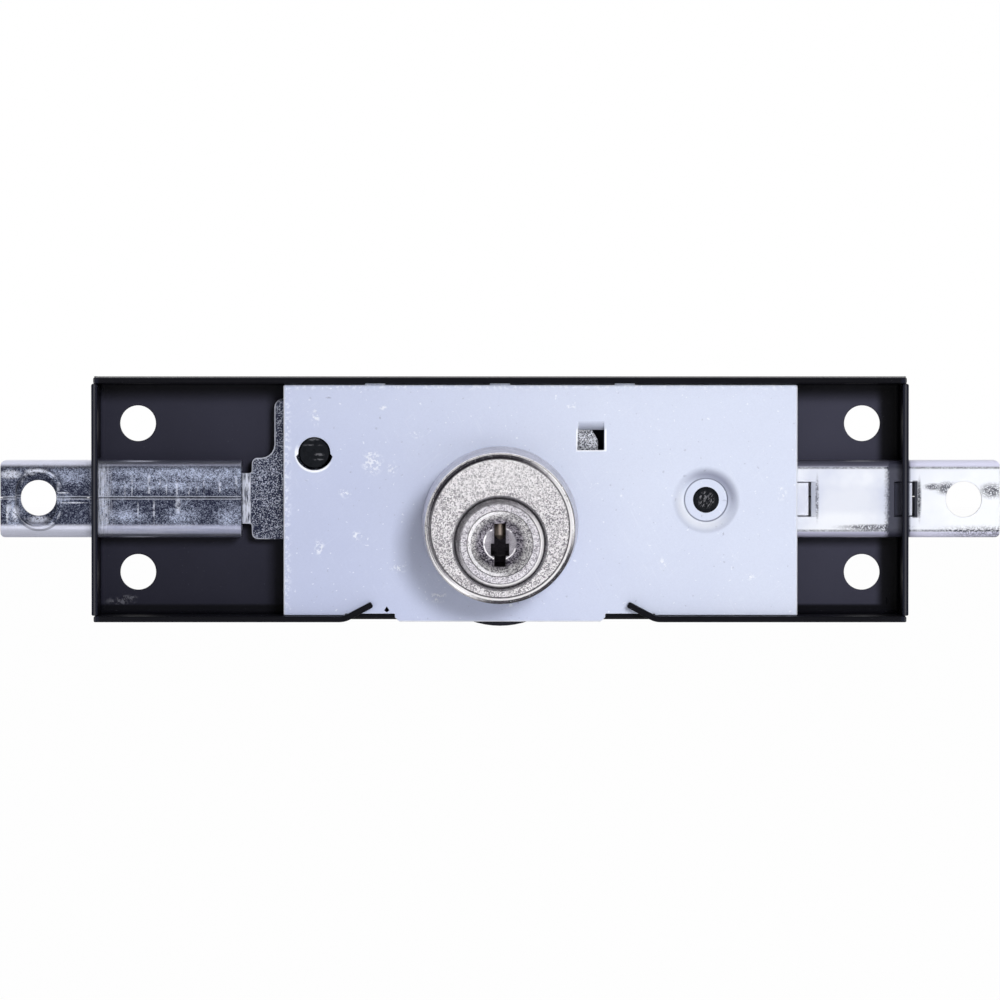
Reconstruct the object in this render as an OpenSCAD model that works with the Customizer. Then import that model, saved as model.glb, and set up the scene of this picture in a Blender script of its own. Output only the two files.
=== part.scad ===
// Roller shutter lock: one key cylinder drives two sliding bolts, out to the left and right.
// Millimetres. +X right, +Z up, the key side faces -Y. The origin is the centre of the four
// mounting holes on the back face of the case. Each piece is drawn lying on its back, with
// x to the right, y up the shutter and z towards the key, and stand() turns it upright.

/* [Case] */
// Length of the case
case_l = 163.5; // [156:0.5:190]
// Height of the case
case_h = 49; // [49:0.5:60]
// Depth of the case, from the back face to its rim
case_d = 15; // [14.5:0.5:20]
// Thickness of the case sheet
case_t = 1.2; // [1:0.1:1.5]
// Inside bend radius of the case sheet
case_bend = 1; // [0.6:0.1:1.6]
// Height above the bends at which the corner slits start
corner_gap = 0.2; // [0.1:0.1:0.6]
// Slit between an end wall and a long wall
wall_slit = 0.1; // [0.1:0.05:0.4]
// How far the end walls stand out past the ends of the long walls
end_proud = 0.4; // [0.2:0.1:0.8]

/* [Mounting holes] */
// Distance between the two columns of mounting holes
mount_dx = 146; // [140:0.5:148]
// Distance between the two rows of mounting holes
mount_dz = 30; // [29:0.5:34]
// Radius of a mounting hole
mount_r = 3.6; // [2.5:0.1:3.6]

/* [Lowered wall] */
// Half length of the lowered stretch of the bottom wall
low_x = 31; // [28:0.5:36]
// How far the lowered stretch is set in
low_in = 0.7; // [0.4:0.1:0.8]
// Length of the tabs that are bent in over the cover
tab_l = 6.4; // [4:0.2:8]
// Angle by which those tabs are bent in
tab_angle = 28; // [15:1:40]
// Inside radius of the bend of those tabs
tab_bend = 3.5; // [1:0.5:5]

/* [Cover plate] */
// Thickness of the cover plate
cover_t = 1; // [0.8:0.1:1.4]
// Left end of the cover plate, from the centre
cover_left = 43.4; // [42.5:0.2:46]
// Right end of the cover plate, from the centre
cover_right = 59.6; // [56:0.2:64]
// Gap between the cover plate and the top wall
cover_gap = 0.3; // [0.2:0.1:0.8]
// Gap between the cover plate and the bottom wall
cover_seat = 0.1; // [0.1:0.1:0.5]
// How far the cover is cut back from the outside of the lowered wall
cover_back_cut = 0.9; // [0.5:0.1:1]
// Half width of the tongue that reaches over the lowered wall
tongue_x = 21.1; // [18:0.5:24]
// Chamfer on the two corners of the tongue
tongue_chamfer = 0.9; // [0.5:0.1:1.2]
// Pitch of the three hook tabs in the top wall
hook_pitch = 25; // [20:0.5:28]
// Width of a hook tab
hook_w = 4; // [3:0.2:8]
// Play round a hook tab in its slot
hook_play = 0.2; // [0.1:0.05:0.3]

// Distance of the punched nick from the middle of the cover, to the left
nick_x = 22.7; // [22:0.1:24]
// Size of the punched nick
nick_w = 1.1; // [0.8:0.1:1.4]
// Height of that nick above the lower edge of the cover
nick_up = 0.7; // [0.6:0.1:2]
// Width of the cone pressed in round the seat of the right post
dimple_w = 2.6; // [1.6:0.1:3]
// Depth of that cone
dimple_depth = 1; // [0.6:0.1:1.3]
// Width of the flat seat at the bottom of the cone, round the post
seat_w = 1.35; // [1:0.05:1.8]
// Step between the cone and the seat
seat_step = 0.15; // [0.1:0.05:0.3]

/* [Cover window] */
// Centre of the window in the cover, to the right
window_x = 18.2; // [17:0.2:22]
// Centre of the window in the cover, upwards
window_z = 11.9; // [11:0.2:13]
// Width of the window
window_w = 5.3; // [4:0.1:6]
// Height of the open part of the window
window_h = 4; // [3:0.1:4.6]
// Length of the bent-in flap above the window, measured up the cover
flap_l = 1.9; // [1.2:0.1:2.6]
// Depth that the flap is bent in below the cover
flap_depth = 1.6; // [1:0.1:1.8]

/* [Bolts] */
// Height of a bolt, up the shutter
bolt_h = 15.4; // [14:0.2:17]
// Depth of a bolt, front to back
bolt_d = 9; // [8.6:0.1:9.4]
// Thickness of the bolt sheet
bolt_t = 1.2; // [1:0.1:1.3]
// Outside radius along the long edges of a bolt
bolt_edge = 2; // [1.6:0.1:2.6]
// Distance from the centre to the tip of a drawn-back bolt
tip_x = 100.2; // [98:0.2:110]
// Distance from the centre to the inner end of the tube
tube_in_x = 51.9; // [51.5:0.1:54]
// Corner radius of the tip, seen from the front
tip_r = 0.9; // [0.6:0.1:2.5]
// Travel of each bolt
travel = 20; // [16:0.5:21]
// Gap between a bolt and the floor of the case, and between a bolt and the cover
bolt_gap = 0.5; // [0.4:0.05:0.7]
// Gap all round a bolt in the end wall
slide_gap = 0.35; // [0.25:0.05:0.4]
// Distance from the tip to the centre of the rod hole
rod_hole_in = 7.2; // [6:0.1:9]
// Radius of the rod hole
rod_r = 3.6; // [2.5:0.1:3.8]
// Half height of the opening in the seam side, which lets the rod pin in at a slant
rod_slot_z = 5.5; // [4.8:0.1:5.7]
// Half width of the opening in the seam side
rod_slot_x = 4.1; // [3.9:0.1:4.6]
// Width of the seam
seam_w = 0.16; // [0.1:0.02:0.3]
// Seam, above the middle of the bolt
seam_up = 0.3; // [0:0.1:1]
// Distance from the tip to the free end of the outer grip tab
grip_in = 17.5; // [16:0.1:19]
// Distance between the two grip tabs
grip_pitch = 20.8; // [18:0.1:22]
// Half height of a grip tab
grip_z = 3.5; // [2.5:0.1:4]
// Length of a grip tab
grip_l = 3.6; // [3:0.1:5.4]
// Slit beside a grip tab
grip_slit = 0.2; // [0.1:0.05:0.4]
// Depth that a grip tab is pressed in
grip_depth = 0.9; // [0.5:0.1:1.1]

/* [Tails] */
// Half height of the neck between tube and tail
neck_z = 5.1; // [4:0.1:5.3]
// Length of the neck
neck_l = 1.4; // [1.2:0.1:2]
// Length of the joggle that lifts the neck from the tube wall, inside the tube
joggle_l = 2.6; // [2:0.1:4]
// Half height of the shoulder next to the neck
shoulder_z = 8.2; // [7.4:0.1:8.6]
// Length of the shoulder
shoulder_l = 5.1; // [4.8:0.1:5.6]
// Gap between the two tails, and between a tail and the pinion flange
tail_gap = 0.3; // [0.2:0.05:0.35]
// Gap between the left tail and the top wall
tail_clear = 3.2; // [2.4:0.1:4.6]
// How far the left rack arm reaches past the top of the window
arm_lap = 0.3; // [0.1:0.1:0.6]
// How far the left rack arm reaches past the middle of the window
arm_reach = 1.5; // [0.6:0.1:2.2]
// Gap between the right rack arm and the bottom wall
arm_clear = 0.8; // [0.4:0.1:1.4]

/* [Drive] */
// Plug axis, below the centre of the case
axis_drop = 8; // [7.8:0.1:8.4]
// Number of teeth on the pinion, for half a turn over the travel
teeth = 12; // [10:2:16]
// Pressure angle
press_angle = 25; // [23:1:27]
// Tooth height above the pitch line, in parts of the tooth module
tooth_top = 0.9; // [0.7:0.05:0.95]
// Tooth depth below the pitch line, in parts of the tooth module
tooth_root = 1.2; // [1.1:0.05:1.25]
// Play between meshing teeth, measured along the pitch line
backlash = 0.3; // [0.2:0.02:0.4]
// Radius of the pinion flange
flange_r = 15; // [13:0.2:15.4]
// Thickness of the pinion flange
flange_t = 1.2; // [0.8:0.1:1.4]
// Radius of the pinion hub
hub_r = 6; // [5:0.1:7]
// Gap between the flange and the relief pressed in the bottom wall
relief_gap = 1.2; // [0.4:0.1:1.4]
// Thickness of the washer behind the pinion
washer_t = 0.5; // [0.4:0.05:0.8]
// Thickness of the retaining clip
clip_t = 0.6; // [0.4:0.05:0.8]

/* [Guide posts] */
// Left post, to the left of the centre
post_l_x = 37.2; // [36.4:0.1:38]
// Left post, above the centre
post_l_z = 9.3; // [8.6:0.1:9.8]
// Right post, to the right of the centre
post_r_x = 41.3; // [40.5:0.1:42]
// Right post, above the centre
post_r_z = -0.1; // [-1:0.1:1]
// Radius of a post
post_r = 3; // [2.4:0.1:3.1]
// Radius of the riveted tenon of a post
tenon_r = 2.1; // [1.6:0.1:2.2]
// How far the riveted head of the right post reaches past its tenon
rivet_w = 0.6; // [0.4:0.1:0.8]
// Gap between a post and the slot of its tail
post_gap = 0.3; // [0.25:0.05:0.4]

/* [Cylinder] */
// Cylinder housing, below the centre of the case
body_drop = 5; // [4.6:0.1:5.4]
// Radius of the cylinder housing at its foot
body_r = 15.7; // [15.2:0.1:17]
// Height of the cylinder housing above the cover
body_h = 20.4; // [18:0.2:24]
// Draft of the housing: how much smaller its radius is at the top
body_draft = 0.7; // [0.3:0.1:1.2]
// Width of the raised rim of the housing
rim_w = 0.75; // [0.5:0.05:1.4]
// Width of the slope from that rim down to the face
rim_slope = 0.4; // [0.2:0.1:0.8]
// Depth of the face inside the rim
face_depth = 0.4; // [0.2:0.1:0.8]
// Radius of the nose round the plug at its foot
nose_r = 9; // [8.8:0.1:9.4]
// Height of the nose above the face
nose_h = 2.5; // [1.5:0.1:4]
// How much smaller the radius of the nose is at its top
nose_draft = 0.6; // [0.3:0.1:1]
// Width of the groove round the foot of the nose
groove_w = 0.45; // [0.2:0.05:0.5]
// Depth of that groove
groove_depth = 0.6; // [0.2:0.1:1]

/* [Plug] */
// Radius of the plug head
head_r = 6.5; // [6.3:0.05:7]
// Length of the plug head
head_l = 3.4; // [2.6:0.1:4]
// Radius of the plug barrel
barrel_r = 6; // [5.6:0.05:6.1]
// Running clearance of the plug in its bore, on the radius
run_gap = 0.05; // [0.03:0.01:0.08]
// Radius of the flat bottom of the dish
dish_r = 3.3; // [2.8:0.1:4]
// Depth of the dish
dish_depth = 1.2; // [0.6:0.1:1.8]
// Width of the keyway
key_w = 2.25; // [1.6:0.05:2.4]
// Height of the keyway
key_h = 8.5; // [7.4:0.1:8.6]
// Middle of the keyway, below the plug axis
key_drop = 0.3; // [0:0.1:0.5]
// Width of the wide part of the keyway
key_wide = 3.6; // [3:0.1:3.8]
// Height of the wide part of the keyway
key_wide_h = 2.4; // [1.6:0.1:2.8]
// Centre of the wide part of the keyway, below the middle of the keyway
key_wide_drop = 0.9; // [0.6:0.1:1.2]
// Side of the square tang behind the barrel
tang_w = 5.6; // [5:0.1:6]

/* [Pins] */
// Radius of the pins
pin_r = 1.3; // [1.1:0.05:1.4]
// Play of a pin in its bore, on the radius
pin_play = 0.05; // [0.03:0.01:0.08]
// Distance from the back of the plug head to the first pin
pin_first = 2.2; // [1.8:0.1:2.4]
// Distance from the front of the cover to the last pin
pin_last = 2.8; // [2:0.1:3.2]
// Length of a driver pin
driver_l = 4; // [3:0.1:5]
// Length of a pin spring
spring_l = 6; // [4:0.1:7]
// Radius of a pin spring
spring_r = 1.05; // [0.8:0.05:1.1]
// Length of the cone at the tip of a key pin
pin_cone = 0.9; // [0.5:0.1:1.2]

/* [Cylinder screws] */
// Distance of each screw from the middle of the housing
screw_x = 10.6; // [10:0.1:11.2]
// Radius of a screw shank
screw_r = 1.5; // [1.2:0.1:1.8]
// Radius of a screw head
screw_head_r = 2.5; // [2.2:0.1:2.8]
// Height of a screw head
screw_head_h = 1.1; // [0.9:0.05:1.2]
// Length of a screw in the housing
screw_l = 7; // [5:0.5:9]

/* [Hidden] */
$fn = 64;
hair = 0.01;   // overshoot of a cut past the face that it opens
fit = 0.04;    // radial clearance of a piece pressed or riveted in its hole
soft = 0.3;    // broken edge of a casting
gap = 0.4;     // room round a piece that passes through the cover

// Depths, measured from the back face towards the key
bolt_back = case_t + bolt_gap;
bolt_front = bolt_back + bolt_d;
bolt_mid = bolt_back + bolt_d / 2;
cover_back = bolt_front + bolt_gap;
cover_front = cover_back + cover_t;
tail_step = (tail_gap + bolt_t) / 2;
teeth_back = bolt_mid - tail_gap / 2 - bolt_t - 2 * tail_gap;
flange_back = bolt_mid + tail_gap / 2 + bolt_t + tail_gap;
clip_back = teeth_back - washer_t - clip_t;
clip_play = 0.05;
clip_groove_r = tang_w / 2 - 0.6;
tang_end = clip_back - 0.5;

// Case
bend_out = case_bend + case_t;
corner = bend_out + corner_gap;
inner_z = case_h / 2 - case_t;
low_out = case_h / 2 - low_in;
tab_lead = (tab_bend + case_t) * tan(tab_angle / 2);

// Cover
cover_top = inner_z - cover_gap;
cover_low = inner_z - cover_seat;
cover_cut = low_out - cover_back_cut;
post_hole_r = post_r + 0.2;
seat_r = post_r + seat_w;
dimple_r = seat_r + dimple_w;
seat_depth = dimple_depth + seat_step;

// Drive
pitch_r = travel / PI;
tooth_m = 2 * pitch_r / teeth;
rack_p = PI * tooth_m;
base_r = pitch_r * cos(press_angle);
gear_r = pitch_r + tooth_top * tooth_m;
gear_root = pitch_r - tooth_root * tooth_m;
rack_top = -axis_drop + pitch_r;
rack_bottom = -axis_drop - pitch_r;
relief_in = flange_r + relief_gap;
relief_back = flange_back - 1.2;
slot_r = post_r + post_gap;

// Tails: the inner end of the neck, the wide part, the ends of the rack arms
tail_in = tube_in_x - neck_l;
wide_x = tail_in - shoulder_l;
tail_top = inner_z - tail_clear;
arm_top = window_z + window_h / 2 + arm_lap;
arm_end = window_x + arm_reach;
arm_low = low_out - case_t - arm_clear;
rack_end = (teeth / 2 + 1) * rack_p - 0.5;
rack_start = 11.5;
root_h = tooth_root * tooth_m;
neck_slit = 0.3;
shoulder_r = 1.2;
inner_r = 2.6;

// Cylinder
face_w = cover_front + body_h - face_depth;
nose_front = face_w + nose_h;
body_top_r = body_r - body_draft;
plug_front = nose_front - 0.1;
head_back = plug_front - head_l;
barrel_back = cover_back + 0.3;

// Pins, numbered from the front; heights are measured from the plug axis
pin_n = 5;
pin_tips = [0.7, 1.6, 1, 2, 1.2];
pin_seat = 0.3;
pin_pitch = (head_back - pin_first - pin_last - cover_front) / (pin_n - 1);
key_pin_top = sqrt(barrel_r * barrel_r - pin_r * pin_r);
driver_foot = barrel_r + 2 * run_gap;
spring_foot = driver_foot + driver_l;
chamber_top = spring_foot + spring_l;

module stand() { rotate([90, 0, 0]) children(); }

// A bar of a cross-section drawn in x and z, running along y
module along_y(length) { rotate([90, 0, 0]) linear_extrude(length, center = true) children(); }

// A bar of a cross-section drawn in y and z, running along x
module along_x(length) { rotate([90, 0, 90]) linear_extrude(length, center = true) children(); }

module rounded_box(w, h, r) {
  square([w, h - 2 * r], center = true);
  square([w - 2 * r, h], center = true);
  for (sx = [-1, 1], sz = [-1, 1]) translate([sx * (w / 2 - r), sz * (h / 2 - r)]) circle(r);
}

// Section of a tray: flat bottom, round lower corners, open top
module tray_fill(half, depth, r) {
  translate([-half, r]) square([2 * half, depth - r]);
  translate([-half + r, 0]) square([2 * (half - r), depth]);
  for (s = [-1, 1]) translate([s * (half - r), r]) circle(r);
}

// Folded box with mitred bends round its floor, open towards the key
module tray() {
  difference() {
    intersection() {
      along_x(case_l) tray_fill(case_h / 2, case_d, bend_out);
      along_y(case_h) tray_fill(case_l / 2, case_d, bend_out);
    }
    translate([0, 0, case_t]) intersection() {
      along_x(case_l) tray_fill(inner_z, case_d, case_bend);
      along_y(case_h) tray_fill(case_l / 2 - case_t, case_d, case_bend);
    }
    for (sx = [0, 1], sz = [0, 1]) mirror([sx, 0, 0]) mirror([0, sz, 0]) corner_slit();
  }
}

// Slit between an end wall and a long wall, which ends a little short of the end wall
module corner_slit() {
  translate([0, inner_z - wall_slit, corner]) {
    translate([case_l / 2 - case_t - hair, 0, 0]) cube([case_t + 2 * hair, wall_slit, case_d]);
    translate([case_l / 2 - end_proud, 0, 0]) cube([end_proud + hair, case_h, case_d]);
  }
}

// Tab of the raised wall, bent in over the cover at the end of the lowered stretch
module hold_tab() {
  outer = tab_bend + case_t;
  turn = [for (i = [0:6]) i * tab_angle / 6];
  reach = (tab_l - tab_lead) * [cos(tab_angle), sin(tab_angle)];
  tip = [sin(tab_angle), -cos(tab_angle)];
  translate([-low_x - tab_lead, outer - case_h / 2, cover_front + hair])
    linear_extrude(case_d - cover_front - hair)
      polygon(concat([[-case_t, -outer]], [for (a = turn) outer * [sin(a), -cos(a)]],
                     [outer * tip + reach, tab_bend * tip + reach],
                     [for (a = turn) tab_bend * [sin(tab_angle - a), -cos(tab_angle - a)]],
                     [[-case_t, -tab_bend]]));
}

// Outward relief in the bottom wall, where the pinion flange turns
module relief() {
  intersection() {
    translate([0, -axis_drop, relief_back - case_t])
      cylinder(r = relief_in + case_t, h = cover_back - relief_back + case_t, $fn = 128);
    translate([-low_x, -case_h, 0]) cube([2 * low_x, case_h - low_out + case_t, case_d]);
  }
}

module case() {
  color("#25262d") stand() difference() {
    union() {
      tray();
      translate([-low_x - case_t, -low_out, case_t / 2])
        cube([2 * (low_x + case_t), case_t, cover_back - case_t / 2]);
      relief();
      hold_tab();
      mirror([1, 0, 0]) hold_tab();
    }
    lowered_cut();
    translate([0, -axis_drop, relief_back])
      cylinder(r = relief_in, h = cover_back - relief_back + hair, $fn = 128);
    for (sx = [-1, 1], sz = [-1, 1])
      translate([sx * mount_dx / 2, sz * mount_dz / 2, -hair])
        cylinder(r = mount_r, h = case_t + 2 * hair);
    bolt_windows();
    for (i = [-1:1])
      translate([i * hook_pitch - hook_w / 2 - hook_play, inner_z - hair, cover_back - hook_play])
        cube([hook_w + 2 * hook_play, case_t + 2 * hair, cover_t + 2 * hook_play]);
    for (p = [[-post_l_x, post_l_z], [post_r_x, post_r_z]])
      translate([p[0], p[1], -hair]) cylinder(r = tenon_r + fit, h = case_t + 2 * hair);
  }
}

// What the bottom wall loses where it is set in and lowered
module lowered_cut() {
  difference() {
    translate([-low_x, -case_h / 2 - hair, bend_out])
      cube([2 * low_x, low_in + hair, case_d]);
    relief();
    hold_tab();
    mirror([1, 0, 0]) hold_tab();
  }
  difference() {
    union() {
      translate([-low_x, -case_h / 2 - hair, cover_back])
        cube([2 * low_x, case_t + low_in, case_d]);
      translate([-low_x - tab_lead, -case_h / 2 - hair, cover_front])
        cube([2 * (low_x + tab_lead), case_t + 2 * hair, case_d]);
    }
    hold_tab();
    mirror([1, 0, 0]) hold_tab();
  }
}

module bolt_windows() {
  win_h = bolt_h + 2 * slide_gap;
  win_d = bolt_d + 2 * slide_gap;
  for (s = [-1, 1])
    translate([s * (case_l / 2 - bend_out / 2), 0, bolt_mid])
      along_x(bend_out + 2 * hair) rounded_box(win_h, win_d, 0.8);
}

module cover_plate() {
  color("#d3d7ea") stand() {
    translate([0, 0, cover_back]) linear_extrude(cover_t) difference() {
      cover_outline();
      translate([-post_l_x, post_l_z]) post_hole();
      translate([post_r_x, post_r_z]) circle(dimple_r);
      translate([0, -axis_drop]) circle(barrel_r + gap);
      for (s = [-1, 1]) translate([s * screw_x, -body_drop]) circle(screw_r + gap / 4);
      translate([window_x, window_z + flap_l / 2])
        square([window_w, window_h + flap_l], center = true);
      translate([-nick_x, nick_up - cover_cut]) nick();
    }
    translate([post_r_x, post_r_z, cover_back]) dimple();
    flap();
  }
}

// Plate between the walls, cut back over the lowered wall on both sides of the tongue,
// with three hooks along the top
module cover_outline() {
  step = low_x + cover_seat;
  translate([-cover_left, -cover_cut]) square([cover_left + cover_right, cover_top + cover_cut]);
  translate([-cover_left, -cover_low]) square([cover_left - step, cover_low]);
  translate([step, -cover_low]) square([cover_right - step, cover_low]);
  polygon([[-tongue_x, 0], [-tongue_x, tongue_chamfer - case_h / 2],
           [tongue_chamfer - tongue_x, -case_h / 2], [tongue_x - tongue_chamfer, -case_h / 2],
           [tongue_x, tongue_chamfer - case_h / 2], [tongue_x, 0]]);
  for (i = [-1:1])
    translate([i * hook_pitch - hook_w / 2, 0]) square([hook_w, case_h / 2]);
}

// Hole for the left post: a round one, and under it part of a larger one that ends in a nick
// on both sides
module post_hole() {
  lobe_r = 1.256 * post_r;
  circle(post_hole_r);
  intersection() {
    translate([0, 0.11 * post_r]) circle(lobe_r);
    translate([0, post_r]) rotate(225) square(2 * lobe_r);
  }
}

// Kite-shaped punch mark
module nick() {
  polygon(nick_w * [[-0.5, -0.05], [0, 0.7], [0.5, -0.05], [0, -0.4]]);
}

// Cone pressed into the cover, with a flat seat and the hole for the tenon of the right post
module dimple() {
  steps = 8;
  hole = tenon_r + fit;
  slope = [for (i = [0:steps])
    [dimple_r - dimple_w * i / steps, -dimple_depth * (1 - cos(180 * i / steps)) / 2]];
  rotate_extrude() polygon(concat(
    [for (p = slope) [p[0], p[1] + cover_t]],
    [[seat_r, cover_t - seat_depth], [hole, cover_t - seat_depth], [hole, -seat_depth],
     [seat_r - seat_step, -seat_depth]],
    [for (i = [steps:-1:0]) [slope[i][0] - seat_step * i / steps, slope[i][1]]]));
}

// Flap lanced from the cover above the window and curled in
module flap() {
  steps = 6;
  foot = window_z + window_h / 2 + flap_l;
  curl = [for (i = [0:steps]) [foot - flap_l * i / steps, -flap_depth * pow(i / steps, 2)]];
  translate([window_x, 0, cover_back]) along_x(window_w + 2 * hair)
    polygon(concat([[foot + hair, 0], [foot + hair, cover_t]],
                   [for (p = curl) [p[0], p[1] + cover_t]],
                   [for (i = [steps:-1:0]) curl[i]]));
}

module cylinder_housing() {
  bore_h = body_h + nose_h;
  color("#c9cbd2") stand() difference() {
    union() {
      translate([0, -body_drop, cover_front]) rotate_extrude($fn = 96)
        polygon([[0, 0], [body_r - soft, 0], [body_r, soft],
                 [body_top_r, body_h - soft], [body_top_r - soft / 3, body_h - soft / 3],
                 [body_top_r - soft, body_h], [body_top_r - rim_w, body_h],
                 [body_top_r - rim_w - rim_slope, body_h - face_depth],
                 [0, body_h - face_depth]]);
      translate([0, -axis_drop, face_w - hair]) rotate_extrude($fn = 96)
        polygon([[0, 0], [nose_r, 0], [nose_r - nose_draft, nose_h - 2 * soft],
                 [nose_r - nose_draft - soft / 2, nose_h - soft / 2],
                 [nose_r - nose_draft - 2 * soft, nose_h], [0, nose_h]]);
    }
    translate([0, -axis_drop, face_w - groove_depth]) rotate_extrude($fn = 96)
      translate([nose_r, 0]) square([groove_w, 2 * groove_depth]);
    translate([0, -axis_drop, 0]) {
      cylinder(r = barrel_r + run_gap, h = nose_front);
      translate([0, 0, head_back - 0.1])
        cylinder(r = head_r + run_gap, h = nose_front - head_back + 1);
      for (i = [1:pin_n]) translate([0, 0, pin_depth(i)]) rotate([-90, 0, 0])
        cylinder(r = pin_r + pin_play, h = chamber_top, $fn = 48);
    }
    for (s = [-1, 1])
      translate([s * screw_x, -body_drop, cover_front - hair])
        cylinder(r = screw_r + fit, h = screw_l + 0.5);
  }
}

// Depth of the axis of pin i
function pin_depth(i) = head_back - pin_first - (i - 1) * pin_pitch;

module plug() {
  color("#b9bcc4") stand() translate([0, -axis_drop, 0]) difference() {
    union() {
      rotate_extrude()
        polygon([[0, barrel_back], [barrel_r, barrel_back], [barrel_r, head_back],
                 [head_r, head_back], [head_r, plug_front - 0.1], [head_r - 0.1, plug_front],
                 [dish_r, plug_front - dish_depth], [0, plug_front - dish_depth]]);
      translate([-tang_w / 2, -tang_w / 2, teeth_back])
        cube([tang_w, tang_w, barrel_back - teeth_back + hair]);
      translate([0, 0, tang_end]) cylinder(r = tang_w / 2, h = teeth_back - tang_end);
    }
    keyway();
    for (i = [1:pin_n]) translate([0, pin_seat, pin_depth(i)]) rotate([-90, 0, 0])
      cylinder(r = pin_r + pin_play, h = barrel_r, $fn = 48);
    translate([0, 0, clip_back]) clip_groove();
  }
}

module keyway() {
  depth = plug_front - cover_front;
  entry = 0.9;
  translate([0, -key_drop, cover_front + 1]) {
    translate([-key_w / 2, -key_h / 2, 0]) cube([key_w, key_h, depth]);
    translate([-key_wide / 2, -key_wide_drop - key_wide_h / 2, 0])
      cube([key_wide, key_wide_h, depth]);
    translate([-key_w / 2, key_h / 2 - hair, depth - dish_depth - 1])
      cube([key_w, entry, dish_depth + 1]);
  }
}

module clip_groove() {
  translate([0, 0, -clip_play]) difference() {
    cylinder(r = tang_w, h = clip_t + clip_play);
    translate([0, 0, -hair]) cylinder(r = clip_groove_r, h = clip_t + 1);
  }
}

// A round piece that stands on end in the chamber of pin i
module in_chamber(i) {
  stand() translate([0, -axis_drop, pin_depth(i)]) rotate([-90, 0, 0]) children();
}

// Key pin i, lifted to the shear line as a key holds it, its coned tip in the keyway
module key_pin(i) {
  tip = pin_tips[i - 1];
  color("#b98f45") in_chamber(i) rotate_extrude($fn = 48)
    polygon([[0, tip], [0.35, tip], [pin_r, tip + pin_cone], [pin_r, key_pin_top],
             [0, key_pin_top]]);
}

module driver_pin(i) {
  color("#c6a25a") in_chamber(i) rotate_extrude($fn = 48)
    polygon([[0, driver_foot], [pin_r - 0.15, driver_foot], [pin_r, driver_foot + 0.15],
             [pin_r, spring_foot - 0.15], [pin_r - 0.15, spring_foot], [0, spring_foot]]);
}

// Coil spring of flat wire between the driver pin and the top of the chamber
module pin_spring(i) {
  turns = 6;
  wire = 35;
  inner = spring_r - 0.3;
  color("#d8d8d8") in_chamber(i) translate([0, 0, spring_foot])
    linear_extrude(spring_l - 0.05, twist = -360 * turns, slices = 36, $fn = 5)
      polygon([polar(inner, -wire), polar(spring_r, -wire), polar(spring_r, 0),
               polar(spring_r, wire), polar(inner, wire)]);
}

function involute(a) = tan(a) * 180 / PI - a;

// Half the angle that a pinion tooth fills at radius r
function tooth_half(r) =
  90 / teeth - 45 * backlash / (PI * pitch_r) + involute(press_angle)
  - involute(acos(base_r / r));

function polar(r, a) = [r * cos(a), r * sin(a)];

module gear_tooth() {
  steps = 5;
  radii = [for (i = [0:steps]) base_r + (gear_r - base_r) * i / steps];
  polygon(concat(
    [polar(gear_root - 0.2, -tooth_half(base_r))],
    [for (r = radii) polar(r, -tooth_half(r))],
    [for (i = [steps:-1:0]) polar(radii[i], tooth_half(radii[i]))],
    [polar(gear_root - 0.2, tooth_half(base_r))]));
}

module pinion() {
  color("#9a9ca3") stand() translate([0, -axis_drop, 0]) difference() {
    union() {
      translate([0, 0, teeth_back]) linear_extrude(flange_back - teeth_back) {
        circle(gear_root);
        for (i = [0:teeth - 1]) rotate(90 + i * 360 / teeth) gear_tooth();
      }
      translate([0, 0, flange_back]) cylinder(r = flange_r, h = flange_t, $fn = 96);
      translate([0, 0, flange_back]) cylinder(r = hub_r, h = barrel_back - flange_back - 0.5);
    }
    translate([0, 0, (teeth_back + barrel_back) / 2])
      cube([tang_w + 2 * fit, tang_w + 2 * fit, barrel_back - teeth_back + 1], center = true);
  }
}

module thrust_washer() {
  color("#cfcfd2") stand() translate([0, -axis_drop, teeth_back - washer_t]) difference() {
    cylinder(r = tang_w / 2 + 2.2, h = washer_t);
    translate([0, 0, -hair]) cylinder(r = tang_w / 2 + fit, h = washer_t + 2 * hair);
  }
}

// E-shaped clip in the groove behind the washer
module retaining_clip() {
  mouth_w = 1.7 * clip_groove_r;
  mouth_l = 8;
  color("#4b4b50") stand() translate([0, -axis_drop, clip_back])
    linear_extrude(clip_t) difference() {
      circle(tang_w / 2 + 1.6);
      circle(clip_groove_r + fit);
      translate([-mouth_w / 2, -clip_groove_r - mouth_l]) square([mouth_w, mouth_l]);
      for (s = [-1, 1]) rotate(s * 52) translate([clip_groove_r + 0.9, 0]) circle(0.7);
    }
}

// A row of rack teeth that point to -y from a line at height z
module rack_teeth() {
  half = rack_p / 4 - backlash / 4;
  tip = half - tooth_top * tooth_m * tan(press_angle);
  root = half + root_h * tan(press_angle);
  for (k = [-1:teeth / 2])
    translate([(k + 0.5) * rack_p, 0])
      polygon([[-root, root_h + hair], [-half, 0], [-tip, -tooth_top * tooth_m],
               [tip, -tooth_top * tooth_m], [half, 0], [root, root_h + hair]]);
}

// Outline through the corners [x, z, radius], each rounded to its radius
function soften(path) = let (n = len(path))
  [for (i = [0:n - 1]) each corner_arc(path[(i + n - 1) % n], path[i], path[(i + 1) % n])];

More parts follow.
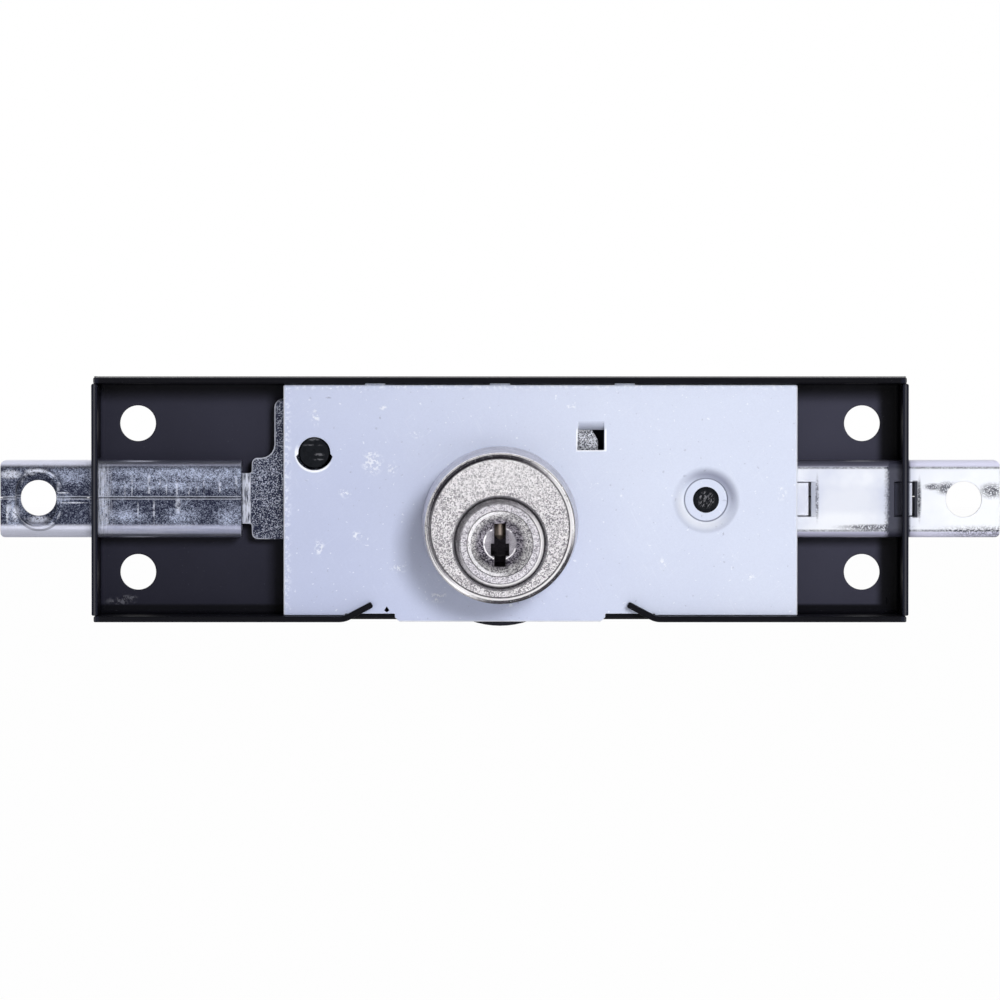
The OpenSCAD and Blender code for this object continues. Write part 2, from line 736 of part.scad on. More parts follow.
// Points of the arc that rounds corner q on the way from p to s
function corner_arc(p, q, s) = q[2] == 0 ? [[q[0], q[1]]] :
  let (a = atan2(p[1] - q[1], p[0] - q[0]), b = atan2(s[1] - q[1], s[0] - q[0]),
       turn = (b - a + 540) % 360 - 180,
       reach = q[2] / sin(abs(turn) / 2),
       centre = [q[0], q[1]] + polar(reach, a + turn / 2),
       sweep = -sign(turn) * (180 - abs(turn)),
       start = a + turn / 2 + 180 - sweep / 2,
       steps = max(2, ceil(abs(sweep) / 18)))
  [for (k = [0:steps]) centre + polar(q[2], start + sweep * k / steps)];

// Half of a shoulder: the corners from the neck to the wide part
function shoulder() = [[tail_in, neck_z, 0], [tail_in - 0.5, neck_z + 0.1, 0.4],
                       [tail_in - 0.6, shoulder_z, shoulder_r]];

function flipped(path, sx, sz) = [for (p = path) [sx * p[0], sz * p[1], p[2]]];

function turned_round(path) = [for (i = [len(path) - 1:-1:0]) path[i]];

// Tail of the left bolt: wide shoulder, slot for the left post, rack along the lower edge
module left_tail_outline() {
  root = rack_top + root_h;
  difference() {
    union() {
      polygon(soften(concat(
        flipped(shoulder(), -1, 1),
        [[-wide_x, shoulder_z, inner_r], [-wide_x, tail_top, 1.8], [-11, tail_top, 2],
         [-6, arm_top, 2], [arm_end - 1.4, arm_top, 0], [arm_end, arm_top - 2.4, 0],
         [arm_end, root + 5, 1], [rack_end, root + 2, 0.5], [rack_end, root, 0],
         [-rack_start, root, 1], [-rack_start - 4.5, -shoulder_z, 2]],
        turned_round(flipped(shoulder(), -1, -1)))));
      translate([0, rack_top]) rack_teeth();
    }
    post_slot(-post_l_x, post_l_z, 1);
  }
}

// Tail of the right bolt, with its rack along the upper edge of the arm
module right_tail_outline() {
  root = rack_bottom - root_h;
  difference() {
    union() {
      polygon(soften(concat(
        flipped(shoulder(), 1, 1),
        [[rack_start + 3.5, shoulder_z, 2], [rack_start + 3.5, root + 5.6, 2],
         [rack_start, root, 1], [-rack_end, root, 0], [-rack_end, root - 3, 0.5],
         [-rack_end + 2.5, -arm_low, 2], [wide_x, -arm_low, 3],
         [wide_x, -shoulder_z, inner_r]],
        turned_round(flipped(shoulder(), 1, -1)))));
      translate([0, rack_bottom]) rotate(180) rack_teeth();
    }
    post_slot(post_r_x, post_r_z, -1);
  }
}

// Slot that lets a tail pass its guide post over the whole travel
module post_slot(x, z, dir) {
  for (d = [0, travel]) translate([x + dir * d, z]) circle(slot_r);
  translate([x + dir * travel / 2, z]) square([travel, 2 * slot_r], center = true);
}

// Opening that a grip tab leaves in the seamless wall, with a pressed edge past its free end.
// Drawn for the left bolt, whose seamless wall is the back one.
module grip_cut(x) {
  gap = 0.5;
  press = 1;
  translate([x - gap, -grip_z, bolt_back - hair])
    cube([grip_l + gap, 2 * grip_z, bolt_t + 2 * hair]);
  translate([x - gap, 0, bolt_back]) along_y(2 * grip_z)
    polygon([[hair, -hair], [hair, bolt_t / 2], [-press, -hair]]);
}

module grip_tab(x) {
  inside = bolt_t + grip_depth;
  translate([x, 0, bolt_back]) along_y(2 * (grip_z - grip_slit))
    polygon([[0, grip_depth], [grip_l - 1.2, grip_depth], [grip_l + hair, 0],
             [grip_l + hair, bolt_t], [grip_l - 0.9, inside], [0, inside]]);
}

// The folded tube of the left bolt, with its neck, as seen from the front
module left_tube() {
  length = tip_x - tube_in_x;
  middle = -(tip_x + tube_in_x) / 2;
  grips = [-tip_x + grip_in, -tip_x + grip_in + grip_pitch];
  difference() {
    intersection() {
      translate([middle, 0, bolt_mid]) along_x(length) difference() {
        rounded_box(bolt_h, bolt_d, bolt_edge);
        rounded_box(bolt_h - 2 * bolt_t, bolt_d - 2 * bolt_t, bolt_edge - bolt_t);
      }
      translate([middle + tip_r, 0, 0]) linear_extrude(case_d)
        rounded_box(length + 2 * tip_r, bolt_h, tip_r);
    }
    translate([middle, seam_up, bolt_front - bolt_t / 2])
      cube([length + 1, seam_w, bolt_t + 1], center = true);
    translate([-tip_x + rod_hole_in, 0, 0]) {
      cylinder(r = rod_r, h = bolt_mid);
      translate([0, 0, bolt_mid]) linear_extrude(bolt_d) rod_slot();
    }
    translate([-tube_in_x - joggle_l, -neck_z - neck_slit, bolt_back - hair])
      cube([joggle_l + hair, 2 * (neck_z + neck_slit), bolt_t + 2 * hair]);
    for (x = grips) grip_cut(x);
  }
  for (x = grips) grip_tab(x);
}

// Upright opening with round ends
module rod_slot() {
  reach = rod_slot_z - rod_slot_x;
  for (s = [-1, 1]) translate([0, s * reach]) circle(rod_slot_x);
  square([2 * rod_slot_x, 2 * reach], center = true);
}

// Neck that is lifted out of the back wall of the tube, up to the height of the tail
module left_neck() {
  foot = -tube_in_x - joggle_l;
  head = -tube_in_x - 0.3;
  end = 0.6 - tail_in;
  rise = bolt_mid - tail_step - bolt_t / 2;
  along_y(2 * neck_z)
    polygon([[foot - 1, bolt_back], [foot + 0.4, bolt_back], [head + 0.4, rise], [end, rise],
             [end, rise + bolt_t], [head, rise + bolt_t], [foot, bolt_back + bolt_t],
             [foot - 1, bolt_back + bolt_t]]);
}

module left_bolt() {
  color("#9fa8c0") stand() {
    left_tube();
    left_neck();
    translate([0, 0, bolt_mid - tail_step - bolt_t / 2]) linear_extrude(bolt_t)
      left_tail_outline();
  }
}

// The right tube is the left one turned end for end and front to back
module right_bolt() {
  color("#dfe3f2") stand() {
    translate([0, 0, 2 * bolt_mid]) rotate([0, 180, 0]) {
      left_tube();
      left_neck();
    }
    translate([0, 0, bolt_mid + tail_step - bolt_t / 2]) linear_extrude(bolt_t)
      right_tail_outline();
  }
}

// Post between floor and cover, its tenon riveted flush in the floor.
// The left one ends in the round hole of the cover.
module left_post() {
  color("#2b2b30") stand() translate([-post_l_x, post_l_z, 0]) {
    cylinder(r = tenon_r, h = case_t + hair);
    translate([0, 0, case_t]) cylinder(r = post_r, h = cover_front - 0.4 - case_t);
  }
}

module right_post() {
  seat = cover_back - seat_depth;
  color("#2b2b30") stand() translate([post_r_x, post_r_z, 0]) {
    cylinder(r = tenon_r, h = case_t + hair);
    translate([0, 0, case_t]) cylinder(r = post_r, h = seat - case_t);
    translate([0, 0, seat]) cylinder(r = tenon_r, h = cover_t + 0.2);
    translate([0, 0, seat + cover_t])
      cylinder(r1 = tenon_r + rivet_w, r2 = tenon_r, h = rivet_w / 2);
  }
}

module cylinder_screws() {
  color("#8d8f96") stand()
    for (s = [-1, 1]) translate([s * screw_x, -body_drop, cover_back - screw_head_h]) difference() {
      union() {
        cylinder(r = screw_head_r, h = screw_head_h);
        cylinder(r = screw_r, h = screw_head_h + cover_t + screw_l);
      }
      for (a = [0, 90]) rotate(a)
        cube([1.1 * screw_head_r, 0.3 * screw_head_r, screw_head_h], center = true);
    }
}

case();
cover_plate();
cylinder_housing();
plug();
key_pin(1);  // key_pin_1
key_pin(2);  // key_pin_2
key_pin(3);  // key_pin_3
key_pin(4);  // key_pin_4
key_pin(5);  // key_pin_5
driver_pin(1);  // driver_pin_1
driver_pin(2);  // driver_pin_2
driver_pin(3);  // driver_pin_3
driver_pin(4);  // driver_pin_4
driver_pin(5);  // driver_pin_5
pin_spring(1);  // pin_spring_1
pin_spring(2);  // pin_spring_2
pin_spring(3);  // pin_spring_3
pin_spring(4);  // pin_spring_4
pin_spring(5);  // pin_spring_5
pinion();
thrust_washer();
retaining_clip();
left_bolt();
right_bolt();
left_post();
right_post();
cylinder_screws();
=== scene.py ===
"""Looks of a roller shutter lock: a painted steel case with a zinc-plated cover, a nickel-plated
key cylinder, and two folded steel bolts that the key drives out to both sides."""

import math
from functools import cached_property

import bmesh
import bpy
from mathutils import Matrix, Vector


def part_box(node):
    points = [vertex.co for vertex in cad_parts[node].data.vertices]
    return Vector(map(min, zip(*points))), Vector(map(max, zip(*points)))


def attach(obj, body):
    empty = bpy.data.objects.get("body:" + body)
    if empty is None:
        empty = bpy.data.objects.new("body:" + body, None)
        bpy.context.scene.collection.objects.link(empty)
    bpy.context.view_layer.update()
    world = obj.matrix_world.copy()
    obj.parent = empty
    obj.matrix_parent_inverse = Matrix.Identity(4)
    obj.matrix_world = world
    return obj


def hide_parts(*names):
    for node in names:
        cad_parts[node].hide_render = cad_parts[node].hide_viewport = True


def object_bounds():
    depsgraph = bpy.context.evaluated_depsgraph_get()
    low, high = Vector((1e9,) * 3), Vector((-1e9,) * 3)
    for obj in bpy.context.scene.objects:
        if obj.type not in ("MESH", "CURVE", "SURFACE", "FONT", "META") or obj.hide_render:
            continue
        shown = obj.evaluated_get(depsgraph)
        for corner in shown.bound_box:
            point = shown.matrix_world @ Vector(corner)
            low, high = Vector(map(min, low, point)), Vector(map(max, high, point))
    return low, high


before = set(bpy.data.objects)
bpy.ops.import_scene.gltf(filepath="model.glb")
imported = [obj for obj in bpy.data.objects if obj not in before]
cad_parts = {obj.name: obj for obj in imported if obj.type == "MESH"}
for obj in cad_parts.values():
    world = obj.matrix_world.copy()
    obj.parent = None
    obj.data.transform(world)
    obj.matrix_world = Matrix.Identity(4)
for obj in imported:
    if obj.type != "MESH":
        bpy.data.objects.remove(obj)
cad_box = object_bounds()

MM = 0.001
WHITE = (1.0, 1.0, 1.0, 1.0)
SOFT_BORDER = 0.06  # millimetres
SCRATCH_WIDTH = 0.012  # as a share of the noise that draws it


def middle(node):
    """Centre of a CAD node's box, in millimetres."""
    low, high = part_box(node)
    return (low + high) / (2 * MM)


def front(node):
    """How far a node reaches towards the key side, as its lowest y in millimetres."""
    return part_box(node)[0].y / MM


# Places that the finishes and the small pieces need, in millimetres
plug_at = middle("plug")
housing_at = middle("cylinder_housing")
left_post_at = middle("left_post")
right_post_at = middle("right_post")
case_rim = front("case")
case_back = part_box("case")[1].y / MM
face_y = front("cylinder_housing")

# More places on the lock that the CAD boxes don't give, in millimetres
FLOOR_Y = -1.2  # front face of the case's floor
END_WALL_X = 81.15  # middle of the right end wall's edge, and mirrored of the left one's
OUTSIDE_X = 82.0  # where a bolt comes out of the case
WINDOW_X, WINDOW_Z = 18.3, 12.9  # centre of the square window in the cover
WINDOW_HALF_X, WINDOW_HALF_Z = 2.7, 2.9
SEAT_INNER, SEAT_OUTER = 4.3, 6.6  # radii of the pressed seat round the right post
BOLT_FLAT_Z = 6.3  # where the flat front of the right bolt ends, above and below
TUBE_END_X, NECK_END_X = -52.0, -50.1  # of the left bolt
SEAM_Z, SEAM_HALF = 0.29, 0.26  # of the left bolt
SLOT_X, SLOT_HALF, SLOT_RADIUS = -92.4, 1.4, 4.35  # of the slotted hole in the left bolt

# Patches of a finish are ellipses seen from the front: centre x and z, half width and height.
# Fibrous lumps of paint on the floor of the case
PAINT_LUMPS = [(-76.6, -20.9, 2.6, 0.7), (-75.0, -20.2, 1.6, 0.5), (78.0, -20.3, 0.12, 1.1)]
# Bright flaky places on the cover
FLAKES = [
    (-36.9, 16.4, 0.7, 1.6), (-25.6, 7.4, 1.7, 2.0), (-23.4, 18.4, 0.6, 0.5),
    (-16.6, 13.0, 0.9, 0.6), (-21.6, 6.2, 0.8, 1.2), (-31.0, 1.4, 1.0, 0.9),
    (-28.4, -7.2, 1.2, 0.8), (-36.2, -9.6, 0.8, 1.3), (-20.2, -13.8, 1.4, 0.7),
    (-12.4, -19.6, 1.8, 0.8), (1.4, -20.8, 1.6, 0.6), (14.2, 18.6, 0.9, 0.4),
    (56.4, 1.2, 0.9, 1.1), (50.2, -15.4, 0.8, 0.6), (32.6, -12.8, 0.6, 0.9)]
# Dark marks on the cover
COVER_MARKS = [
    (-34.4, 20.4, 0.8, 0.16), (-24.0, 16.6, 0.2, 0.5), (-14.8, 14.2, 0.6, 0.16),
    (3.6, -20.4, 1.5, 0.5), (44.6, -7.0, 0.3, 0.6), (18.4, 22.0, 0.7, 0.12)]
# Burnished places of the right bolt
BURNISHED = [
    (89.6, 2.2, 2.0, 1.1), (98.6, 1.7, 2.0, 1.3), (86.9, 2.5, 1.6, 0.6), (63.6, 0.2, 0.3, 3.6),
    (84.1, 0.0, 0.35, 3.4), (75.0, -5.6, 6.0, 0.5)]
# Pale hazy places of the left bolt
HAZE = [
    (-65.0, 5.4, 14.0, 1.1), (-66.0, 2.8, 12.0, 0.8), (-79.6, 0.5, 0.9, 6.0),
    (-60.0, 4.8, 7.5, 1.5), (-70.0, 4.9, 4.5, 1.2), (-54.5, -3.6, 2.6, 1.8),
    (-64.0, -3.6, 3.0, 1.6), (-75.0, -3.2, 3.0, 1.2), (-86.0, 4.6, 4.0, 1.4),
    (-97.5, -3.0, 1.4, 3.4), (-88.0, 0.1, 2.6, 0.9)]
# Painted highlights on the left bolt outside the case
ROD_SHINES = [
    (-93.0, 5.6, 2.0, 0.5), (-98.2, 5.0, 1.8, 0.8), (-98.8, -2.9, 0.25, 1.6),
    (-97.3, -3.0, 0.5, 1.3), (-93.0, -4.4, 2.0, 0.7), (-87.9, 1.3, 1.4, 0.12),
    (-85.6, -0.7, 2.6, 0.12), (-94.6, 4.9, 0.9, 0.3)]
# Pale upright creases of the left bolt
FOLD_CREASES = [
    (-88.6, 2.9, 0.3, 2.2), (-73.8, 2.8, 0.15, 2.1), (-70.4, 2.6, 0.25, 2.6),
    (-64.8, 2.4, 0.2, 2.2), (-62.4, 2.6, 0.15, 2.4), (-56.2, 2.6, 0.2, 2.2),
    (-52.9, 2.6, 0.2, 2.4), (-72.6, -2.0, 0.15, 1.7), (-69.4, -2.2, 0.2, 2.2),
    (-64.6, -1.2, 0.5, 1.5), (-79.8, 1.6, 0.3, 2.8), (-78.9, -2.6, 0.3, 2.6),
    (-75.2, 1.9, 0.12, 1.4), (-66.9, 2.2, 0.12, 1.8), (-59.4, 2.6, 0.12, 1.6),
    (-68.2, 3.4, 0.12, 1.2), (-60.8, 2.0, 0.12, 1.0), (-98.4, -1.6, 0.4, 1.8)]
# Painted highlights streaked on the end of the left post
POST_SHINES = [
    (-37.6, 10.9, 1.8, 0.12), (-36.2, 9.0, 0.9, 0.25), (-36.6, 8.0, 1.2, 0.15),
    (-37.4, 12.3, 1.4, 0.5)]


class Value:
    """A node socket that takes part in sums: each operator adds its Math node."""

    def __init__(self, finish, socket):
        self.finish = finish
        self.socket = socket

    def math(self, operation, *others):
        return self.finish.math(operation, self, *others)

    def __add__(self, other):
        return self.math("ADD", other)

    def __radd__(self, other):
        return self.math("ADD", other)

    def __sub__(self, other):
        return self.math("SUBTRACT", other)

    def __rsub__(self, other):
        return self.finish.math("SUBTRACT", other, self)

    def __mul__(self, other):
        return self.math("MULTIPLY", other)

    def __rmul__(self, other):
        return self.math("MULTIPLY", other)

    def __truediv__(self, other):
        return self.math("DIVIDE", other)

    def __pow__(self, other):
        return self.math("POWER", other)

    def __abs__(self):
        return self.math("ABSOLUTE")


def colour(value):
    """A colour for a socket: links pass through, and three numbers get their alpha."""
    if isinstance(value, Value):
        return value
    return (*value, 1.0)


class Nodes:
    """Adds nodes to a tree, each from its type, its settings and what its sockets take."""

    def __init__(self, tree):
        self.tree = tree
        tree.nodes.clear()

    def node(self, kind, settings=None, sockets=None, out=0):
        """The named or numbered output of a new node. Sockets also go by name or number."""
        made = self.tree.nodes.new(kind)
        for name, value in (settings or {}).items():
            setattr(made, name, value)
        for key, value in (sockets or {}).items():
            self.feed(made.inputs[key], value)
        return Value(self, made.outputs[out])

    def feed(self, socket, value):
        if isinstance(value, Value):
            self.tree.links.new(value.socket, socket)
        else:
            socket.default_value = value

    def output(self, kind, surface):
        """The end of the tree, fed by the socket that gives the surface."""
        end = self.tree.nodes.new(kind)
        self.tree.links.new(surface, end.inputs["Surface"])

    def math(self, operation, *values):
        return self.node("ShaderNodeMath", {"operation": operation}, dict(enumerate(values)))

    def vector(self, operation, *values):
        return self.node("ShaderNodeVectorMath", {"operation": operation}, dict(enumerate(values)))

    def most(self, level, *others):
        """The highest of some levels."""
        for other in others:
            level = self.math("MAXIMUM", level, other)
        return level

    def length(self, across, up):
        """Length of a step across and up."""
        return self.math("SQRT", across ** 2.0 + up ** 2.0)

    def part(self, vector, axis):
        """One number of a vector: 0 for x, 1 for y, 2 for z."""
        return self.node("ShaderNodeSeparateXYZ", {}, {"Vector": vector}, out=axis)

    def mix(self, factor, first, second):
        """A colour between first and second. Of the node's sockets of the same name, 6, 7 and
        output 2 are those for colours."""
        return self.node("ShaderNodeMix", {"data_type": "RGBA"},
                         {0: factor, 6: colour(first), 7: colour(second)}, out=2)

    def step(self, value, low, high):
        """0 below low, 1 above high, smooth between. With low above high it falls."""
        return self.node("ShaderNodeMapRange", {"interpolation_type": "SMOOTHSTEP"},
                         {"Value": value, "From Min": low, "From Max": high})

    def noise(self, at, scale, detail=2.0, rough=0.5):
        return self.node("ShaderNodeTexNoise", {},
                         {"Vector": at, "Scale": scale, "Detail": detail, "Roughness": rough})

    def grains(self, at, size):
        """A random level for each grain of the size, in the units of the place."""
        tones = self.node("ShaderNodeTexVoronoi", {}, {"Vector": at, "Scale": 1 / size},
                          out="Color")
        return self.node("ShaderNodeSeparateColor", {}, {"Color": tones})

    def stretched(self, at, factors, turn=0.0):
        """Coordinates turned about y and then drawn out along each axis."""
        return self.node("ShaderNodeMapping", {"vector_type": "TEXTURE"},
                         {"Vector": at, "Rotation": (0.0, math.radians(turn), 0.0),
                          "Scale": factors})


class Finish(Nodes):
    """One material on Object coordinates, in millimetres, that ends in a Principled shader."""

    def __init__(self, name, metallic=0.0, specular=0.5):
        self.material = bpy.data.materials.new(name)
        self.material.use_nodes = True
        super().__init__(self.material.node_tree)
        place = self.node("ShaderNodeTexCoord", out="Object")
        self.at = self.node("ShaderNodeVectorMath", {"operation": "SCALE"},
                            {"Vector": place, "Scale": 1 / MM})
        self.shader = self.tree.nodes.new("ShaderNodeBsdfPrincipled")
        self.set(Metallic=metallic, Specular_IOR_Level=specular)
        self.output("ShaderNodeOutputMaterial", self.shader.outputs[0])

    @cached_property
    def x(self):
        return self.part(self.at, 0)

    @cached_property
    def y(self):
        return self.part(self.at, 1)

    @cached_property
    def z(self):
        return self.part(self.at, 2)

    def set(self, **sockets):
        for name, value in sockets.items():
            self.feed(self.shader.inputs[name.replace("_", " ")], value)
        return self.material

    def rounding(self):
        """1 where an edge is rounded, 0 on what faces front, back or aside."""
        facing = abs(self.part(self.node("ShaderNodeTexCoord", out="Normal"), 1))
        return self.step(facing, 0.98, 0.85) * self.step(facing, 0.1, 0.35)

    def radius(self, centre):
        """Distance from an axis that runs front to back through a point."""
        return self.length(self.x - centre.x, self.z - centre.z)

    def band(self, value, low, high):
        """1 between two values, with a soft border outside them."""
        return (self.step(value, low - SOFT_BORDER, low)
                * self.step(value, high + SOFT_BORDER, high))

    def spot(self, x, z, width, height, soft):
        """1 inside an ellipse seen from the front, 0 outside it."""
        reach = self.length((self.x - x) / width, (self.z - z) / height)
        return self.step(reach, 1 + soft, 1 - soft)

    def spots(self, places, soft=0.45):
        """1 inside any of some ellipses, given by their centre x and z, half width and height."""
        return self.most(0.0, *(self.spot(*place, soft) for place in places))

    def bump(self, height, distance=0.05):
        """Relief whose height of 1 stands for the distance, in millimetres."""
        return self.node("ShaderNodeBump", {}, {"Height": height, "Distance": distance * MM})

    def scratches(self, seed, turn, density):
        """Fine straight scratches along one direction: 1 in a scratch, 0 beside it."""
        along = self.stretched(self.at, (30.0, 1.0, 1.0), turn)
        moved = self.vector("ADD", along, (seed, seed * 0.7, seed * 1.3))
        line = self.step(abs(self.noise(moved, 0.9, 3.0) - 0.5), SCRATCH_WIDTH,
                         0.3 * SCRATCH_WIDTH)
        elsewhere = self.vector("ADD", self.at, (seed, 0.0, 0.0))
        breaks = self.step(self.noise(elsewhere, 0.12), 0.62, 0.62 - 0.25 * density)
        return line * (1 - breaks)


def case_paint():
    """Blue-black satin paint: black on the walls, dusty on the floor, and paler on the floor and
    the rim as painted light.
    """
    wall_dark, wall_pale = (0.0020, 0.0020, 0.0035), (0.0060, 0.0060, 0.0085)
    floor_dark, floor_pale = (0.009, 0.009, 0.016), (0.046, 0.046, 0.069)
    rim_dark, rim_pale = (0.008, 0.009, 0.016), (0.045, 0.045, 0.052)
    back_dark, back_pale = (0.009, 0.009, 0.013), (0.021, 0.021, 0.028)
    scratched, dust = (0.09, 0.09, 0.11), (0.10, 0.10, 0.12)
    paint = Finish("case_paint", specular=0.08)
    cloud = paint.noise(paint.at, 0.05, 3.0)

    # Painted light and shade on the floor inside: paler to the upper right, and shaded along three
    # walls
    floor = (paint.step(paint.y, FLOOR_Y - 1.0, FLOOR_Y - 0.4)
             * paint.step(paint.y, FLOOR_Y + 0.8, FLOOR_Y + 0.3))
    off_right_wall = paint.step(paint.x, 77.4, 75.4)
    off_top_wall = paint.step(paint.z, 24.0, 18.0)
    off_bottom_wall = paint.step(paint.z, -21.9, -21.2)
    floor = floor * off_right_wall * off_top_wall * off_bottom_wall
    painted_light = paint.step(paint.z * 0.2 + paint.x * 0.13, -18.0, 14.0) * 0.75 + cloud * 0.25
    tone = paint.mix(floor, paint.mix(cloud, wall_dark, wall_pale),
                     paint.mix(painted_light, floor_dark, floor_pale))

    # The rim of the end walls has a painted highlight, a fine pale line
    rim = (paint.step(paint.y, case_rim + 0.5, case_rim + 0.2)
           * paint.step(abs(paint.x), 80.0, 80.6))
    line = paint.step(abs(abs(paint.x) - END_WALL_X), 0.25, 0.08)
    tone = paint.mix(rim, tone, paint.mix(line, rim_dark, rim_pale))

    # The back and the long sides are duller and scratched
    back = paint.step(paint.y, case_back - 0.6, case_back - 0.2)
    long_sides = paint.step(abs(paint.z), 24.2, 24.4)
    outside = paint.most(back, long_sides)
    worn = paint.scratches(5.0, 14.0, 0.4) + paint.scratches(11.0, -52.0, 0.3)
    dull = paint.mix(cloud, back_dark, back_pale)
    tone = paint.mix(outside, tone, paint.mix(worn * 0.2, dull, scratched))

    # Lumps, specks and the slightly uneven skin of the paint
    lump = paint.spots(PAINT_LUMPS) * paint.step(paint.noise(paint.at, 1.1, 3.0, 0.7), 0.45, 0.6)
    tone = paint.mix(lump * floor * 0.8, tone, dust)
    specks = paint.step(paint.noise(paint.at, 2.6, 2.0), 0.70, 0.77)
    tone = paint.mix(specks * 0.3, tone, dust)
    peel = paint.noise(paint.at, 1.3, 2.0)
    runs = paint.noise(paint.at, 0.22, 2.0)
    return paint.set(Base_Color=tone, Roughness=0.34 + 0.14 * cloud, Coat_Weight=back * 0.25,
                     Normal=paint.bump(peel * 0.4 + runs * 2.0 + lump * 4.0, 0.03))


def cover_zinc():
    """Pale zinc plating: soft clouds, dark pores, bright flakes, painted light paler to the upper
    right, and white painted highlights on the pressed edges.
    """
    plate_dark, plate_pale = (0.43, 0.47, 0.66), (0.625, 0.67, 0.81)
    grain_blue, pore_blue = (0.24, 0.26, 0.38), (0.24, 0.26, 0.36)
    flake_white, edge_white = (0.90, 0.92, 0.98), (0.90, 0.92, 0.99)
    mark_dark, seat_edge_shade = (0.16, 0.17, 0.26), (0.06, 0.07, 0.14)
    flap_shade, slope_shade = (0.20, 0.21, 0.30), (0.20, 0.21, 0.31)
    hook_dark = (0.015, 0.015, 0.022)
    plate = Finish("cover_zinc", 0.3)

    # The open plate, paler to the upper right as painted light
    cloud = plate.noise(plate.at, 0.045, 4.0, 0.55)
    painted_light = plate.step(plate.x + plate.z * 0.7, -62.0, 50.0) * 0.8 + cloud * 0.4
    pores = plate.step(plate.noise(plate.at, 1.15, 1.0), 0.715, 0.76)
    elsewhere = plate.vector("ADD", plate.at, (40.0, 9.0, 5.0))
    flecks = plate.step(plate.noise(elsewhere, 1.3, 1.0), 0.72, 0.76)
    crumbs = plate.step(plate.noise(plate.at, 1.5, 3.0, 0.7), 0.50, 0.60)
    flakes = plate.spots(FLAKES, 0.7) * crumbs
    smears = plate.scratches(7.0, 62.0, 0.3) * 0.09 + plate.scratches(3.0, -38.0, 0.25) * 0.07
    tone = plate.mix(painted_light, plate_dark, plate_pale)
    tone = plate.mix(0.06 * plate.grains(plate.at, 0.22), tone, grain_blue)
    tone = plate.mix(pores * 0.3, tone, pore_blue)
    tone = plate.mix(flecks * 0.45 + flakes * 0.7 + smears, tone, flake_white)
    tone = plate.mix(plate.spots(COVER_MARKS, 0.5) * crumbs * 0.5, tone, mark_dark)

    # Painted shade in a dark line round the pressed seat of the right post, and a painted
    # highlight on the lower left of the hole for the left post
    r_post = plate.radius(left_post_at)
    r_seat = plate.radius(right_post_at)
    tone = plate.mix(plate.step(abs(r_seat - SEAT_INNER), 0.2, 0.08) * 0.6, tone, seat_edge_shade)
    hole = plate.x * 0.5 + plate.z - left_post_at.x * 0.5 - left_post_at.z
    hole = plate.step(hole, 0.5, -2.0) * plate.step(r_post, 4.1, 3.7)

    # The window: a painted highlight in a pale border below and beside it, and its flap in painted
    # shade
    opening = plate.most(abs(plate.x - WINDOW_X) - WINDOW_HALF_X,
                         abs(plate.z - WINDOW_Z) - WINDOW_HALF_Z)
    border = plate.band(opening, 0.04, 0.32) * plate.step(plate.z, 14.6, 13.6) * 0.95
    away = plate.step(r_seat, SEAT_OUTER, SEAT_OUTER + 0.4) * plate.step(opening, -0.3, 0.0)
    tone = plate.mix(plate.step(opening, 0.0, -0.2) * 0.15, tone, flap_shade)

    # Painted shade and light on the slope of the seat: dark where it faces down and light where it
    # faces up
    lean = ((plate.x - right_post_at.x) * 0.6 + plate.z - right_post_at.z) / 6.0
    slope = (plate.step(r_seat, SEAT_INNER, SEAT_INNER + 0.3)
             * plate.step(r_seat, SEAT_OUTER, SEAT_OUTER - 1.6))
    tone = plate.mix(slope * plate.step(lean, -0.1, 1.0) * 0.75, tone, slope_shade)

    # White painted highlights on the sheared and rounded edges, the window's border, the lower
    # left of the hole and the lit side of the seat's slope; the edges are also frayed at the top
    # and on the left
    frayed = plate.most(plate.step(plate.z, 21.6, 22.6), plate.step(plate.x, -41.4, -42.6))
    lit = plate.most(hole + plate.rounding() * away * 0.8, border,
                     slope * plate.step(lean, 0.1, -0.8) * 0.6, frayed * crumbs * 0.4)
    tone = plate.mix(lit, tone, edge_white)
    tone = plate.mix(plate.step(plate.z, 23.8, 24.0) * 0.9, tone, hook_dark)
    grain = plate.noise(plate.at, 2.1, 2.0)
    dents = plate.noise(plate.at, 0.05, 2.0) * 7.0 + grain * 0.2 - pores * 0.6 + flakes * 0.5
    return plate.set(Base_Color=tone, Roughness=0.34 + 0.1 * cloud, Normal=plate.bump(dents))


